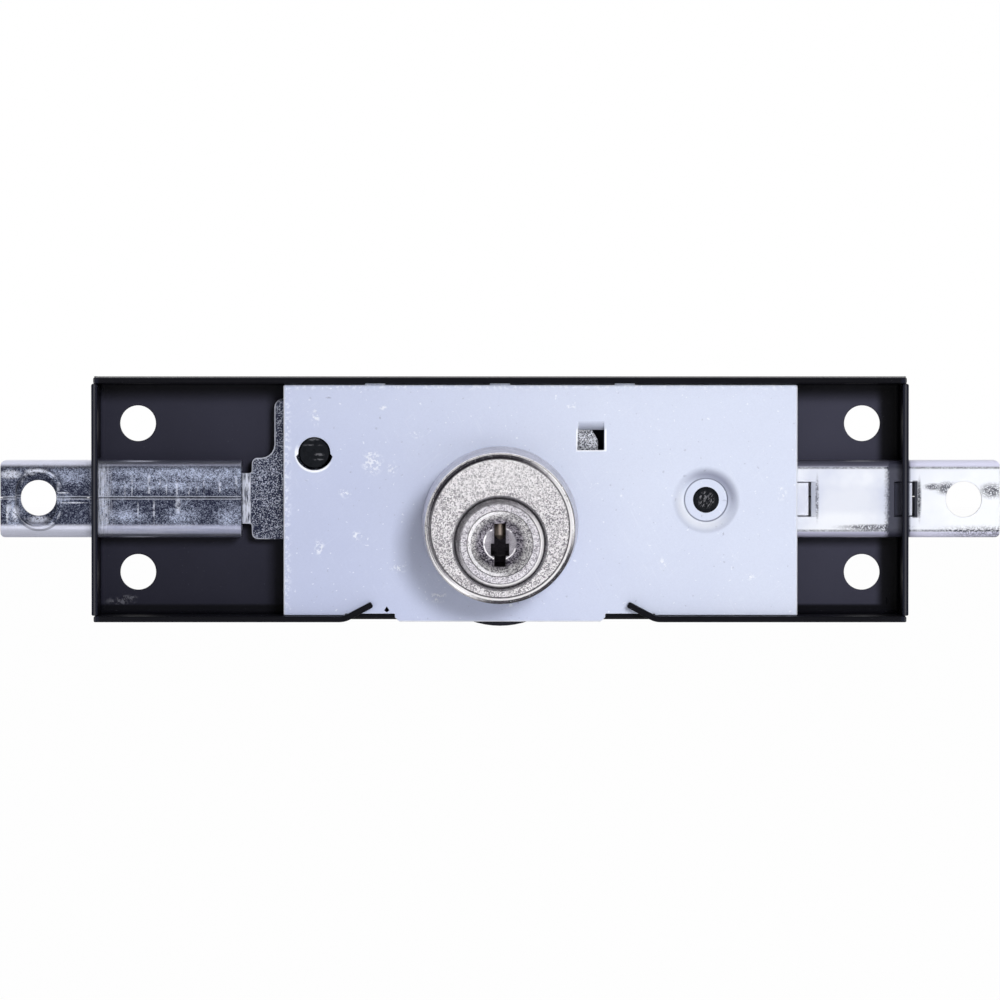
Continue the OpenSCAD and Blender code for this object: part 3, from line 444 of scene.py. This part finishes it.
def right_bolt_zinc():
    """White zinc bloom on the flats, paler outside the case as painted light, bare lavender
    plating on the rounded edges, dark speckled burnish marks from the press, and painted shade
    beside the wall and inside the case."""
    bloom_dark, bloom_pale = (0.62, 0.65, 0.76), (0.78, 0.80, 0.86)
    bloom_outside, middle_shade = (0.86, 0.88, 0.93), (0.50, 0.53, 0.66)
    edge_inside, edge_outside = (0.50, 0.50, 0.66), (0.72, 0.72, 0.90)
    burnish_and_shade, tail_dark = (0.030, 0.031, 0.052), (0.20, 0.21, 0.27)
    plate = Finish("right_bolt_zinc", 0.35)
    cloud = plate.noise(plate.at, 0.06, 4.0, 0.55)
    speck = plate.noise(plate.at, 3.4, 2.0, 0.7)
    grit = plate.grains(plate.at, 0.19) * 0.6 + speck * 0.6
    outside = plate.step(plate.x, OUTSIDE_X, OUTSIDE_X + 2.0)

    # Flats and rounded edges, paler outside the case as painted light, and with the edges and the
    # middle darker inside it as painted shade
    bloom = plate.mix(plate.step(cloud, 0.35, 0.6), bloom_dark, bloom_pale)
    bloom = plate.mix(outside * 0.6, bloom, bloom_outside)
    tone = plate.mix(plate.step(abs(plate.z), BOLT_FLAT_Z, BOLT_FLAT_Z + 0.4), bloom,
                     plate.mix(outside, edge_inside, edge_outside))
    tone = plate.mix(plate.step(abs(plate.z), 3.6, 1.8) * (1 - outside) * 0.3, tone, middle_shade)

    # Burnished marks, painted shade in the lines where the flats end, and the worn lower edge
    # outside
    line = plate.step(abs(abs(plate.z) - BOLT_FLAT_Z), 0.35, 0.05)
    line = line * (0.35 + 0.5 * plate.step(grit, 0.4, 0.7))
    worn = plate.step(plate.x, 84.0, 97.0) * plate.step(plate.z, -4.4 - speck, -6.2)
    marks = plate.most(plate.spots(BURNISHED, 0.6) * plate.step(grit, 0.28, 0.62),
                       worn * plate.step(grit, 0.38, 0.72) * 0.75)

    # Painted shade: the dark end of the tube beside the wall, its notch, and the shaded top inside
    band = plate.step(plate.x + speck * 1.5, 77.6, 79.0) * plate.step(plate.x, 82.5, 81.9)
    notch = plate.band(plate.x, 82.75, 83.7) * plate.step(abs(plate.z), 3.9, 3.5)
    shaded = plate.step(plate.z, 6.1 + speck * 0.4, 6.8) * plate.step(plate.x, 81.5, 80.0) * 0.85
    dark = plate.most(line * 0.8 + marks * 0.9 + band, notch * 0.92, shaded)
    tone = plate.mix(plate.math("MINIMUM", dark, 0.97), tone, burnish_and_shade)

    inner = plate.step(plate.x, 46.0, 42.0)
    tone = plate.mix(inner * plate.step(grit, 0.40, 0.75) * 0.55, tone, tail_dark)
    relief = plate.noise(plate.at, 0.05, 2.0) * 7.0 + speck * 0.35
    return plate.set(Base_Color=tone, Roughness=0.3 + 0.1 * cloud, Normal=plate.bump(relief))


def left_bolt_zinc():
    """Dark speckled plating with the pale upright creases of the fold beside the seam."""
    field_dark, field_pale = (0.016, 0.019, 0.042), (0.63, 0.70, 0.92)
    edge_inside, edge_outside = (0.44, 0.46, 0.62), (0.82, 0.84, 1.0)
    edge_streak, groove_dark = (0.74, 0.75, 0.88), (0.03, 0.034, 0.055)
    lit_white, tail_pale = (0.78, 0.81, 0.94), (0.80, 0.82, 0.90)
    plate = Finish("left_bolt_zinc", 0.85)
    cloud = plate.noise(plate.at, 0.09, 3.0, 0.55)
    fine = plate.grains(plate.at, 0.17)
    speck = plate.noise(plate.at, 3.4, 2.0, 0.75)
    coarse = plate.noise(plate.at, 1.0, 3.0, 0.65)
    on_tube = plate.step(plate.x, TUBE_END_X + 0.4, TUBE_END_X - 0.2)
    outside = plate.step(plate.x, -OUTSIDE_X + 1.0, -OUTSIDE_X - 0.6)

    # The speckled field, and the paler bands along the top and the bottom of the tube, painted
    # highlights that are darker inside the case as painted shade
    haze = plate.spots(HAZE, 0.8)
    field = plate.step(fine * 0.35 + speck * 0.45 + coarse * 0.45 + cloud * 0.35 + haze * 0.22
                       + on_tube * 0.03, 0.72, 1.48)
    top = plate.step(plate.z, 5.4 + coarse * 1.2, 7.4)
    low = plate.step(plate.z, -4.8, -5.6)
    streaks = plate.noise(plate.stretched(plate.at, (9.0, 1.0, 0.5)), 1.0, 2.0)
    band = plate.mix(plate.step(streaks, 0.35, 0.7) * 0.5,
                     plate.mix(outside, edge_inside, edge_outside), edge_streak)
    tone = plate.mix(plate.most(top, low) * on_tube * 0.85,
                     plate.mix(field, field_dark, field_pale), band)

    # Creases, the two edges of the seam, and round the slotted hole a ring with a painted
    # highlight above and below it and painted shade just outside it
    crease = plate.spots(FOLD_CREASES) * plate.step(coarse, 0.38, 0.60) * on_tube * 0.5
    seam = plate.step(abs(abs(plate.z - SEAM_Z) - SEAM_HALF), 0.14, 0.03) * on_tube
    r_slot = plate.length(plate.x - SLOT_X, plate.most(abs(plate.z) - SLOT_HALF, 0.0))
    ring = plate.step(abs(r_slot - SLOT_RADIUS), 0.3, 0.1) * plate.step(coarse, 0.40, 0.62)
    ring = ring * plate.step(abs(plate.z), 1.5, 4.0)
    groove = plate.band(r_slot, SLOT_RADIUS + 0.25, SLOT_RADIUS + 0.65) * 0.5

    # Painted highlights outside the case, and the brushed stretch in the window of the wall
    shines = plate.spots(ROD_SHINES, 0.5) * plate.step(coarse * 0.7 + fine * 0.3, 0.30, 0.5)
    brushed = plate.noise(plate.stretched(plate.at, (0.35, 1.0, 3.5)), 1.2, 3.0, 0.6)
    brushed = plate.step(brushed, 0.36, 0.6) * plate.step(plate.x, -76.8, -80.2) * (1 - outside)

    # Painted highlights on the neck and on the rounded edge of the tail, and the sparks on the
    # tail beside the neck
    waves = plate.noise(plate.stretched(plate.at, (0.5, 1.0, 2.2)), 1.1, 3.0)
    neck = (plate.step(plate.x, TUBE_END_X + 0.1, TUBE_END_X + 0.3)
            * plate.step(plate.x, NECK_END_X + 0.1, NECK_END_X - 0.2))
    neck = neck * plate.step(waves, 0.28, 0.62)
    tail = (plate.step(plate.x, NECK_END_X - 0.1, NECK_END_X + 0.3)
            * plate.step(plate.x, -36.0, -40.0))
    sparks = tail * plate.step(fine * 0.6 + speck * 0.6, 0.66, 0.84)
    rim = plate.rounding() * (1 - on_tube)

    lit = plate.most(crease, seam * 0.4, ring * 0.6, neck * 0.85, rim * 0.95, shines * 0.85,
                     brushed * 0.6, sparks * 0.38)
    tone = plate.mix(groove * on_tube, tone, groove_dark)
    tone = plate.mix(lit, tone, lit_white)
    inner = plate.step(plate.x, -10.0, 0.0)
    tone = plate.mix(inner * plate.step(fine * 0.5 + speck * 0.6, 0.36, 0.7), tone, tail_pale)
    relief = speck * 0.6 + coarse * 0.6 + plate.noise(plate.at, 0.12, 2.0) * 4.0 + crease * 0.6
    return plate.set(Base_Color=tone, Roughness=0.24 + 0.14 * cloud, Metallic=0.85 - 0.6 * rim,
                     Normal=plate.bump(relief, 0.04))


def screw_zinc():
    """Grey zinc plating of the screws behind the cover."""
    plate = Finish("screw_zinc", 0.8)
    grain = plate.noise(plate.at, 1.6, 3.0)
    tone = plate.mix(grain, (0.36, 0.37, 0.44), (0.62, 0.63, 0.70))
    return plate.set(Base_Color=tone, Roughness=0.28 + 0.1 * grain,
                     Normal=plate.bump(grain, 0.03))


def housing_nickel():
    """Nickel-plated casting: a coarse sparkling face inside a polished rim, with painted light and
    shade: the face paler to the top, slopes dark where they face down and to the right, and
    painted highlights."""
    polish_dark, polish_pale = (0.66, 0.64, 0.69), (0.84, 0.82, 0.86)
    face_dark, face_pale = (0.22, 0.20, 0.23), (1.0, 0.97, 1.0)
    satin_dark, satin_pale = (0.26, 0.24, 0.28), (0.76, 0.74, 0.79)
    near_white, pit_dark = (1.0, 0.98, 1.0), (0.10, 0.09, 0.12)
    slope_dark, turning_line = (0.018, 0.015, 0.024), (0.20, 0.19, 0.23)
    cast = Finish("housing_nickel", 0.85)
    r_body = cast.radius(housing_at)
    r_nose = cast.radius(plug_at)
    faced = cast.step(cast.y, face_y + 3.6, face_y + 3.1)
    face = cast.step(r_body, 13.9, 13.7) * faced * cast.step(r_nose, 9.3, 9.6)
    nose = faced * cast.step(r_nose, 9.2, 8.9)

    # Polished all over, with a cast grain on the face, paler to the top as painted light, a satin
    # nose, and a white painted highlight round the rim
    fine = cast.grains(cast.at, 0.20)
    grit = cast.noise(cast.at, 4.4, 2.0, 0.75)
    patches = cast.noise(cast.at, 0.30, 2.0)
    grain = cast.step(fine * 0.6 + grit * 0.4 + patches * 0.1, 0.25, 0.66)
    sparkle = cast.mix(cast.step(cast.z - housing_at.z, 2.0, 13.0) * 0.5,
                       cast.mix(grain, face_dark, face_pale), near_white)
    tone = cast.mix(face * 0.95,
                    cast.mix(cast.step(patches, 0.35, 0.65), polish_dark, polish_pale), sparkle)
    tone = cast.mix(nose * cast.step(r_nose, 8.2, 7.9) * 0.9, tone,
                    cast.mix(grain, satin_dark, satin_pale))
    tone = cast.mix(faced * cast.step(r_body, 14.3, 14.5) * 0.7, tone, near_white)
    pits = cast.step(grit * 0.6 + cast.noise(cast.at, 1.4, 2.0) * 0.5, 0.60, 0.66)
    tone = cast.mix(pits * 0.6, tone, pit_dark)

    # How far a place lies in the direction that a slope turns its light or dark side to
    lean = (cast.x - housing_at.x - cast.z + housing_at.z) / 15.0
    turned_up = (plug_at.x - cast.x - plug_at.z + cast.z) / 9.0
    raised = (cast.x * 0.5 - cast.z - housing_at.x * 0.5 + housing_at.z) / 15.0
    lower = (cast.x * 0.6 - cast.z - housing_at.x * 0.6 + housing_at.z) / 15.0

    # Painted shade on the slopes and lines of the rim and the nose
    rim_inside = cast.band(r_body, 13.75, 14.6) * cast.step(raised, -0.3, -0.85)
    rim_outside = cast.band(r_body, 14.4, 15.3) * cast.step(lower, 0.5, 0.95)
    rim_left = cast.band(r_body, 14.35, 14.55) * cast.step(housing_at.x - cast.x, 9.0, 13.0)
    nose_upper = cast.band(r_nose, 8.15, 8.65) * cast.step(turned_up, 0.2, 0.9)
    nose_lower = cast.band(r_nose, 8.5, 9.1) * cast.step(plug_at.z - cast.z, 5.0, 8.0)
    face_line, rim_line = cast.band(r_body, 13.66, 13.86), cast.band(r_body, 14.7, 14.8)
    nose_foot, nose_line = cast.band(r_nose, 8.85, 9.3), cast.band(r_nose, 7.85, 8.0)
    shade = cast.most(rim_inside, rim_outside, face_line * 0.85, nose_foot * 0.9,
                      rim_left * 0.8, nose_upper * 0.75, nose_lower * 0.8, rim_line * 0.5,
                      nose_line * 0.6)

    # Painted highlights on slopes: inside the rim at the lower right, round the nose, and the
    # rim's lower left
    rim_lit = cast.band(r_body, 13.95, 14.25) * cast.step(lean, -0.2, 0.3)
    nose_lit = cast.band(r_nose, 8.1, 8.65) * cast.step(turned_up, 0.2, -0.4)
    corner_lit = (cast.band(r_body, 14.3, 14.8) * cast.step(housing_at.z - cast.z, 3.0, 7.0)
                  * cast.step(housing_at.x - cast.x, 2.0, 8.0))
    glint = cast.most(rim_lit, nose_lit, corner_lit) * faced
    tone = cast.mix(glint * 0.85, tone, near_white)
    shade = shade * faced * cast.step(grit + fine * 0.2, 0.2, 0.5)
    tone = cast.mix(shade * 0.96, tone, slope_dark)

    # Faint turning lines on the barrel
    side = cast.step(cast.y, face_y + 3.6, face_y + 4.0)
    lines = cast.math("SINE", (cast.y - face_y) * 4.6 + patches * 2.5)
    tone = cast.mix(side * cast.step(lines, 0.3, 0.95) * 0.12, tone, turning_line)
    return cast.set(Base_Color=tone, Roughness=0.16 + 0.2 * face + 0.2 * side,
                    Metallic=0.85 - 0.6 * glint, Normal=cast.bump(grain * 0.9 * face + grit * 0.2))


def plug_nickel():
    """Turned nickel: a grainy bright edge, a dark satin dish and a polished flat inside, with
    painted highlights and a keyway in painted shade.
    """
    flat_dark, flat_pale = (0.06, 0.055, 0.075), (0.26, 0.245, 0.28)
    dish_dark, dish_pale = (0.022, 0.018, 0.032), (0.38, 0.355, 0.41)
    edge_dark, edge_pale, arc_white = (0.17, 0.16, 0.19), (1.0, 0.98, 1.0), (0.98, 0.96, 1.0)
    lobe_pale, keyway_dark = (0.80, 0.77, 0.83), (0.012, 0.010, 0.014)
    turned = Finish("plug_nickel", 0.88)
    r = turned.radius(plug_at)
    fine = turned.grains(turned.at, 0.20)
    grit = turned.noise(turned.at, 3.6, 2.0, 0.75)
    cloud = turned.noise(turned.at, 0.8, 3.0, 0.6)
    grain = turned.step(fine * 0.5 + grit * 0.5 + cloud * 0.3, 0.38, 0.86)

    # From the middle outwards: flat, dish, edge, and a painted highlight, the bright arc on the
    # left of the edge
    slope = turned.step(r, 3.2, 3.5) * turned.step(r, 6.0, 4.0)
    ring = turned.step(r, 4.3, 5.6)
    arc = turned.band(r, 5.85, 6.4) * turned.step(turned.x - plug_at.x, 3.0, -1.0)
    arc = arc * turned.step(grit, 0.30, 0.46)
    dish = turned.mix(grain * 1.3 - 0.32, dish_dark, dish_pale)
    tone = turned.mix(slope, turned.mix(cloud, flat_dark, flat_pale), dish)
    tone = turned.mix(ring * 0.95, tone, turned.mix(grain, edge_dark, edge_pale))
    tone = turned.mix(arc * 0.85, tone, arc_white)

    # Painted highlights on the sides of the flat and on the line round it, and painted shade in
    # the keyway
    lobes = turned.step(abs(turned.x - plug_at.x), 1.0, 2.6) * turned.step(r, 3.3, 3.1)
    tone = turned.mix(lobes * 0.25, tone, lobe_pale)
    lean = (turned.x - plug_at.x + turned.z - plug_at.z) / 6.0
    hub = turned.band(r, 3.08, 3.3) * turned.step(cloud - lean * 0.2, 0.40, 0.55)
    tone = turned.mix(hub * 0.85, tone, arc_white)
    inside = turned.step(turned.y, front("plug") + 1.6, front("plug") + 2.2)
    tone = turned.mix(inside * 0.97, tone, keyway_dark)
    relief = grit * (0.3 + 0.6 * ring) + cloud
    return turned.set(Base_Color=tone, Roughness=0.22 + 0.14 * ring + 0.1 * slope,
                      Metallic=0.88 - 0.5 * arc, Normal=turned.bump(relief, 0.04))


def pin_brass():
    """Brown brass of the pins."""
    brass = Finish("pin_brass", 0.8)
    cloud = brass.noise(brass.at, 1.2, 3.0)
    tone = brass.mix(cloud, (0.30, 0.25, 0.22), (0.52, 0.43, 0.37))
    return brass.set(Base_Color=tone, Roughness=0.3 + 0.12 * cloud,
                     Normal=brass.bump(brass.noise(brass.at, 5.0, 2.0), 0.015))


def post_black():
    """Blackened steel, its ends scarred by the chisel-like marks of the press, and streaked with
    painted highlights on the left post.
    """
    steel_dark, steel_pale = (0.003, 0.004, 0.006), (0.010, 0.011, 0.014)
    scar_grey = (0.32, 0.32, 0.35)
    black = Finish("post_black", 0.2, 0.08)
    cloud = black.noise(black.at, 0.9, 3.0)
    strokes = black.noise(black.stretched(black.at, (0.35, 2.5, 1.3), 28.0), 1.6, 3.0, 0.75)
    scar = black.step(strokes, 0.50, 0.58) * black.step(black.radius(right_post_at), 1.9, 1.4)
    shine = black.spots(POST_SHINES, 0.4) * black.step(black.noise(black.at, 2.0, 2.0), 0.4, 0.55)
    tone = black.mix(cloud, steel_dark, steel_pale)
    tone = black.mix(black.most(scar * 0.7, shine * 0.3), tone, scar_grey)
    return black.set(Base_Color=tone, Roughness=0.18 + 0.2 * cloud,
                     Normal=black.bump(cloud * 0.6 + scar, 0.12))


def plain_metal(name, pale, dark, rough):
    """Finish of the small turned and pressed pieces inside."""
    metal = Finish(name, 1.0)
    cloud = metal.noise(metal.at, 1.2, 3.0)
    return metal.set(Base_Color=metal.mix(cloud, dark, pale), Roughness=rough + 0.15 * cloud,
                     Normal=metal.bump(metal.noise(metal.at, 4.8, 2.0), 0.015))


FINISHES = {
    "case_paint": case_paint(),
    "cover_zinc": cover_zinc(),
    "housing_nickel": housing_nickel(),
    "plug_nickel": plug_nickel(),
    "pin_brass": pin_brass(),
    "spring_steel": plain_metal("spring_steel", (0.60, 0.60, 0.62), (0.42, 0.42, 0.45), 0.25),
    "gear_steel": plain_metal("gear_steel", (0.36, 0.36, 0.39), (0.24, 0.24, 0.27), 0.32),
    "clip_steel": plain_metal("clip_steel", (0.16, 0.16, 0.18), (0.09, 0.09, 0.11), 0.35),
    "left_bolt_zinc": left_bolt_zinc(),
    "right_bolt_zinc": right_bolt_zinc(),
    "post_black": post_black(),
    "screw_zinc": screw_zinc(),
}


def cad_copy(node):
    """A bmesh of a CAD node, with its loose triangles joined and flat faces made whole."""
    form = bmesh.new()
    form.from_mesh(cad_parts[node].data)
    bmesh.ops.remove_doubles(form, verts=form.verts, dist=0.002 * MM)
    bmesh.ops.dissolve_limit(form, angle_limit=math.radians(0.5), verts=form.verts,
                             edges=form.edges)
    return form


def rounded(form, radius, segments, angle, where):
    """Rounds the edges of a bmesh that turn by more than the angle, where the test of an
    edge's middle, in millimetres, says so."""
    sharp = [edge for edge in form.edges
             if edge.is_manifold and edge.calc_face_angle(0.0) > math.radians(angle)
             and where((edge.verts[0].co + edge.verts[1].co) / (2 * MM))]
    bmesh.ops.bevel(form, geom=sharp, offset=radius * MM, offset_type="OFFSET",
                    segments=segments, profile=0.5, affect="EDGES", clamp_overlap=False,
                    material=-1)


def everywhere(at):
    """Any edge at all."""
    return True


def dressed(node, body, slot, radius, segments=2, where=everywhere, wide=None, crease=32):
    """The piece that stands for a CAD node, its edges rounded as the real one's are. Wide
    gives a larger radius, and the test that says where it holds. Shading is round but for
    creases, where two faces meet at more than the angle of a crease."""
    form = cad_copy(node)
    if wide:
        wide_radius, wide_where = wide
        rounded(form, wide_radius, segments=4, angle=45, where=wide_where)
    rounded(form, radius, segments, angle=30, where=where)
    mesh = bpy.data.meshes.new(node + "_piece")
    form.to_mesh(mesh)
    form.free()
    if "custom_normal" in mesh.attributes:
        mesh.attributes.remove(mesh.attributes["custom_normal"])
    for face in mesh.polygons:
        face.use_smooth = True
    mesh.set_sharp_from_angle(angle=math.radians(crease))
    mesh.materials.append(FINISHES[slot])
    piece = bpy.data.objects.new(mesh.name, mesh)
    bpy.context.scene.collection.objects.link(piece)
    even = piece.modifiers.new("even_normals", "WEIGHTED_NORMAL")
    even.keep_sharp = True
    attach(piece, body)
    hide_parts(node)


def kept(node, slot):
    """A CAD node that is shown as it is, in its finish."""
    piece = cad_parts[node]
    piece.data.materials.clear()
    piece.data.materials.append(FINISHES[slot])


def clear_of_slits(at):
    """Every edge of the case but the short ones at its corner slits, which stay as cut."""
    at_an_end, at_a_side, at_the_back = abs(at.x) > 78.0, abs(at.z) > 22.0, at.y > -3.2
    return not (at_an_end and at_a_side and at_the_back)


def clear_of_nick(at):
    """Every edge of the cover but those of the small cut over its lower edge."""
    across, up = -23.5 < at.x < -21.9, -22.8 < at.z < -21.3
    return not (across and up)


def cover_outer_edge(at):
    """Front edges of the cover on its left and right sides and at its very bottom."""
    low, high = (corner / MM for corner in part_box("cover_plate"))
    plate_front = high.y - 1.0
    aside = min(at.x - low.x, high.x - at.x) < 0.05 and at.z > low.z + 3.0
    return at.y < plate_front + 0.02 and (aside or at.z < low.z + 0.3)


def housing_rim(at):
    """Edges of the raised rim round the face of the housing."""
    reach = math.hypot(at.x - housing_at.x, at.z - housing_at.z)
    return 14.0 < reach < 14.6 and at.y < face_y + 3.4


def off_seam(at):
    """Every edge of the left bolt but those of the seam, which stay as they were cut."""
    return at.x > -51.0 or abs(at.z - 0.3) > 0.2


def tail_edge(at):
    """Front edges of the left bolt's tail, beside the neck."""
    return -51.0 < at.x < -43.0 and at.y < -5.9


# Each call gives the piece's node, body and slot, and its radius in millimetres
dressed("case", "case", "case_paint", 0.3, segments=3, where=clear_of_slits, crease=12)
dressed("cover_plate", "case", "cover_zinc", 0.14, where=clear_of_nick,
        wide=(0.35, cover_outer_edge))
dressed("cylinder_housing", "case", "housing_nickel", 0.1, wide=(0.3, housing_rim))
dressed("plug", "plug_drive", "plug_nickel", 0.08)
dressed("left_bolt", "left_bolt", "left_bolt_zinc", 0.12, where=off_seam,
        wide=(0.4, tail_edge))
dressed("right_bolt", "right_bolt", "right_bolt_zinc", 0.12)
dressed("left_post", "case", "post_black", 0.3)
dressed("right_post", "case", "post_black", 0.15)
dressed("cylinder_screws", "case", "screw_zinc", 0.08)
dressed("pinion", "plug_drive", "gear_steel", 0.08)
for number in range(1, 6):
    kept(f"key_pin_{number}", "pin_brass")
    kept(f"driver_pin_{number}", "pin_brass")
    kept(f"pin_spring_{number}", "spring_steel")
kept("thrust_washer", "gear_steel")
kept("retaining_clip", "clip_steel")


def studio_world():
    """A white background, and a soft studio round the object. What metal mirrors is a bright
    screen behind the camera, a dark gap round it, and pale walls beyond. Of a direction, x is
    how far it points to the right, y away from the camera, and z up."""
    world = bpy.data.worlds.new("studio")
    bpy.context.scene.world = world
    world.use_nodes = True
    sky = Nodes(world.node_tree)
    heading = sky.node("ShaderNodeTexCoord", out="Generated")
    x, y, z = (sky.part(heading, axis) for axis in range(3))
    camera = sky.node("ShaderNodeLightPath", out="Is Camera Ray")
    glossy = sky.most(sky.node("ShaderNodeLightPath", out="Is Glossy Ray"),
                      sky.node("ShaderNodeLightPath", out="Is Transmission Ray"))
    diffuse = 0.10 + x * 0.04 + z * 0.05 + sky.step(y, 0.0, 0.4) * 0.5
    screen = sky.step(y * -1.0, 0.82, 0.90)
    gap = sky.step(y * -1.0, 0.48, 0.62) * (1 - screen)
    walls = 0.96 - sky.step(x - z, -0.1, 0.7) * 0.84
    mirrored = walls * (1 - gap * 0.9) * (1 - screen) + screen * 0.95
    behind = sky.step(y, 0.5, 0.8)
    mirrored = mirrored * (1 - behind) + behind
    level = diffuse * (1 - glossy) + mirrored * glossy
    light = sky.node("ShaderNodeBackground", {},
                     {"Color": WHITE, "Strength": level * (1 - camera) + camera})
    sky.output("ShaderNodeOutputWorld", light.socket)


def soft_box(name, place, width, height, power):
    """A wide lamp that looks at the object. The metal mirrors the studio, not the lamp."""
    light = bpy.data.lights.new(name, "AREA")
    light.shape = "RECTANGLE"
    light.size = width
    light.size_y = height
    light.energy = power
    box = bpy.data.objects.new(name, light)
    bpy.context.scene.collection.objects.link(box)
    box.location = place
    box.rotation_euler = (-Vector(place)).to_track_quat("-Z", "Y").to_euler()
    box.visible_glossy = False


def studio_floor(height):
    """A pale floor that looks white and keeps a faint shadow."""
    form = bmesh.new()
    bmesh.ops.create_grid(form, x_segments=1, y_segments=1, size=4.0,
                          matrix=Matrix.Translation((0, 0, height)))
    mesh = bpy.data.meshes.new("floor")
    form.to_mesh(mesh)
    form.free()
    floor = bpy.data.objects.new("floor", mesh)
    bpy.context.scene.collection.objects.link(floor)
    material = bpy.data.materials.new("floor")
    material.use_nodes = True
    pale = Nodes(material.node_tree)
    lit = pale.node("ShaderNodeBsdfDiffuse", {}, {"Color": (0.92, 0.92, 0.92, 1.0)})
    glow = pale.node("ShaderNodeEmission", {}, {"Color": WHITE, "Strength": 1.0})
    camera = pale.node("ShaderNodeLightPath", out="Is Camera Ray")
    both = pale.node("ShaderNodeMixShader", {}, {0: camera * 0.985, 1: lit, 2: glow})
    pale.output("ShaderNodeOutputMaterial", both.socket)
    mesh.materials.append(material)


def photo_camera(target, distance, elevation, view_width):
    """A long lens in front of the lock, a little above it."""
    data = bpy.data.cameras.new("camera")
    data.lens = data.sensor_width * distance / view_width
    data.clip_end = 20.0
    camera = bpy.data.objects.new("camera", data)
    bpy.context.scene.collection.objects.link(camera)
    tilt = math.radians(elevation)
    away = Vector((0.0, -math.cos(tilt), math.sin(tilt)))
    camera.location = target + away * distance
    camera.rotation_euler = (-away).to_track_quat("-Z", "Y").to_euler()
    bpy.context.scene.camera = camera


studio_world()
soft_box("key_light", place=(0.38, -1.62, 0.36), width=0.34, height=0.30, power=26.0)
studio_floor(height=cad_box[0].z - 0.12)
photo_camera(Vector((0.0, case_rim * MM, 0.0)), distance=1.6, elevation=2.0, view_width=0.2)
bpy.context.scene.view_settings.view_transform = "Standard"
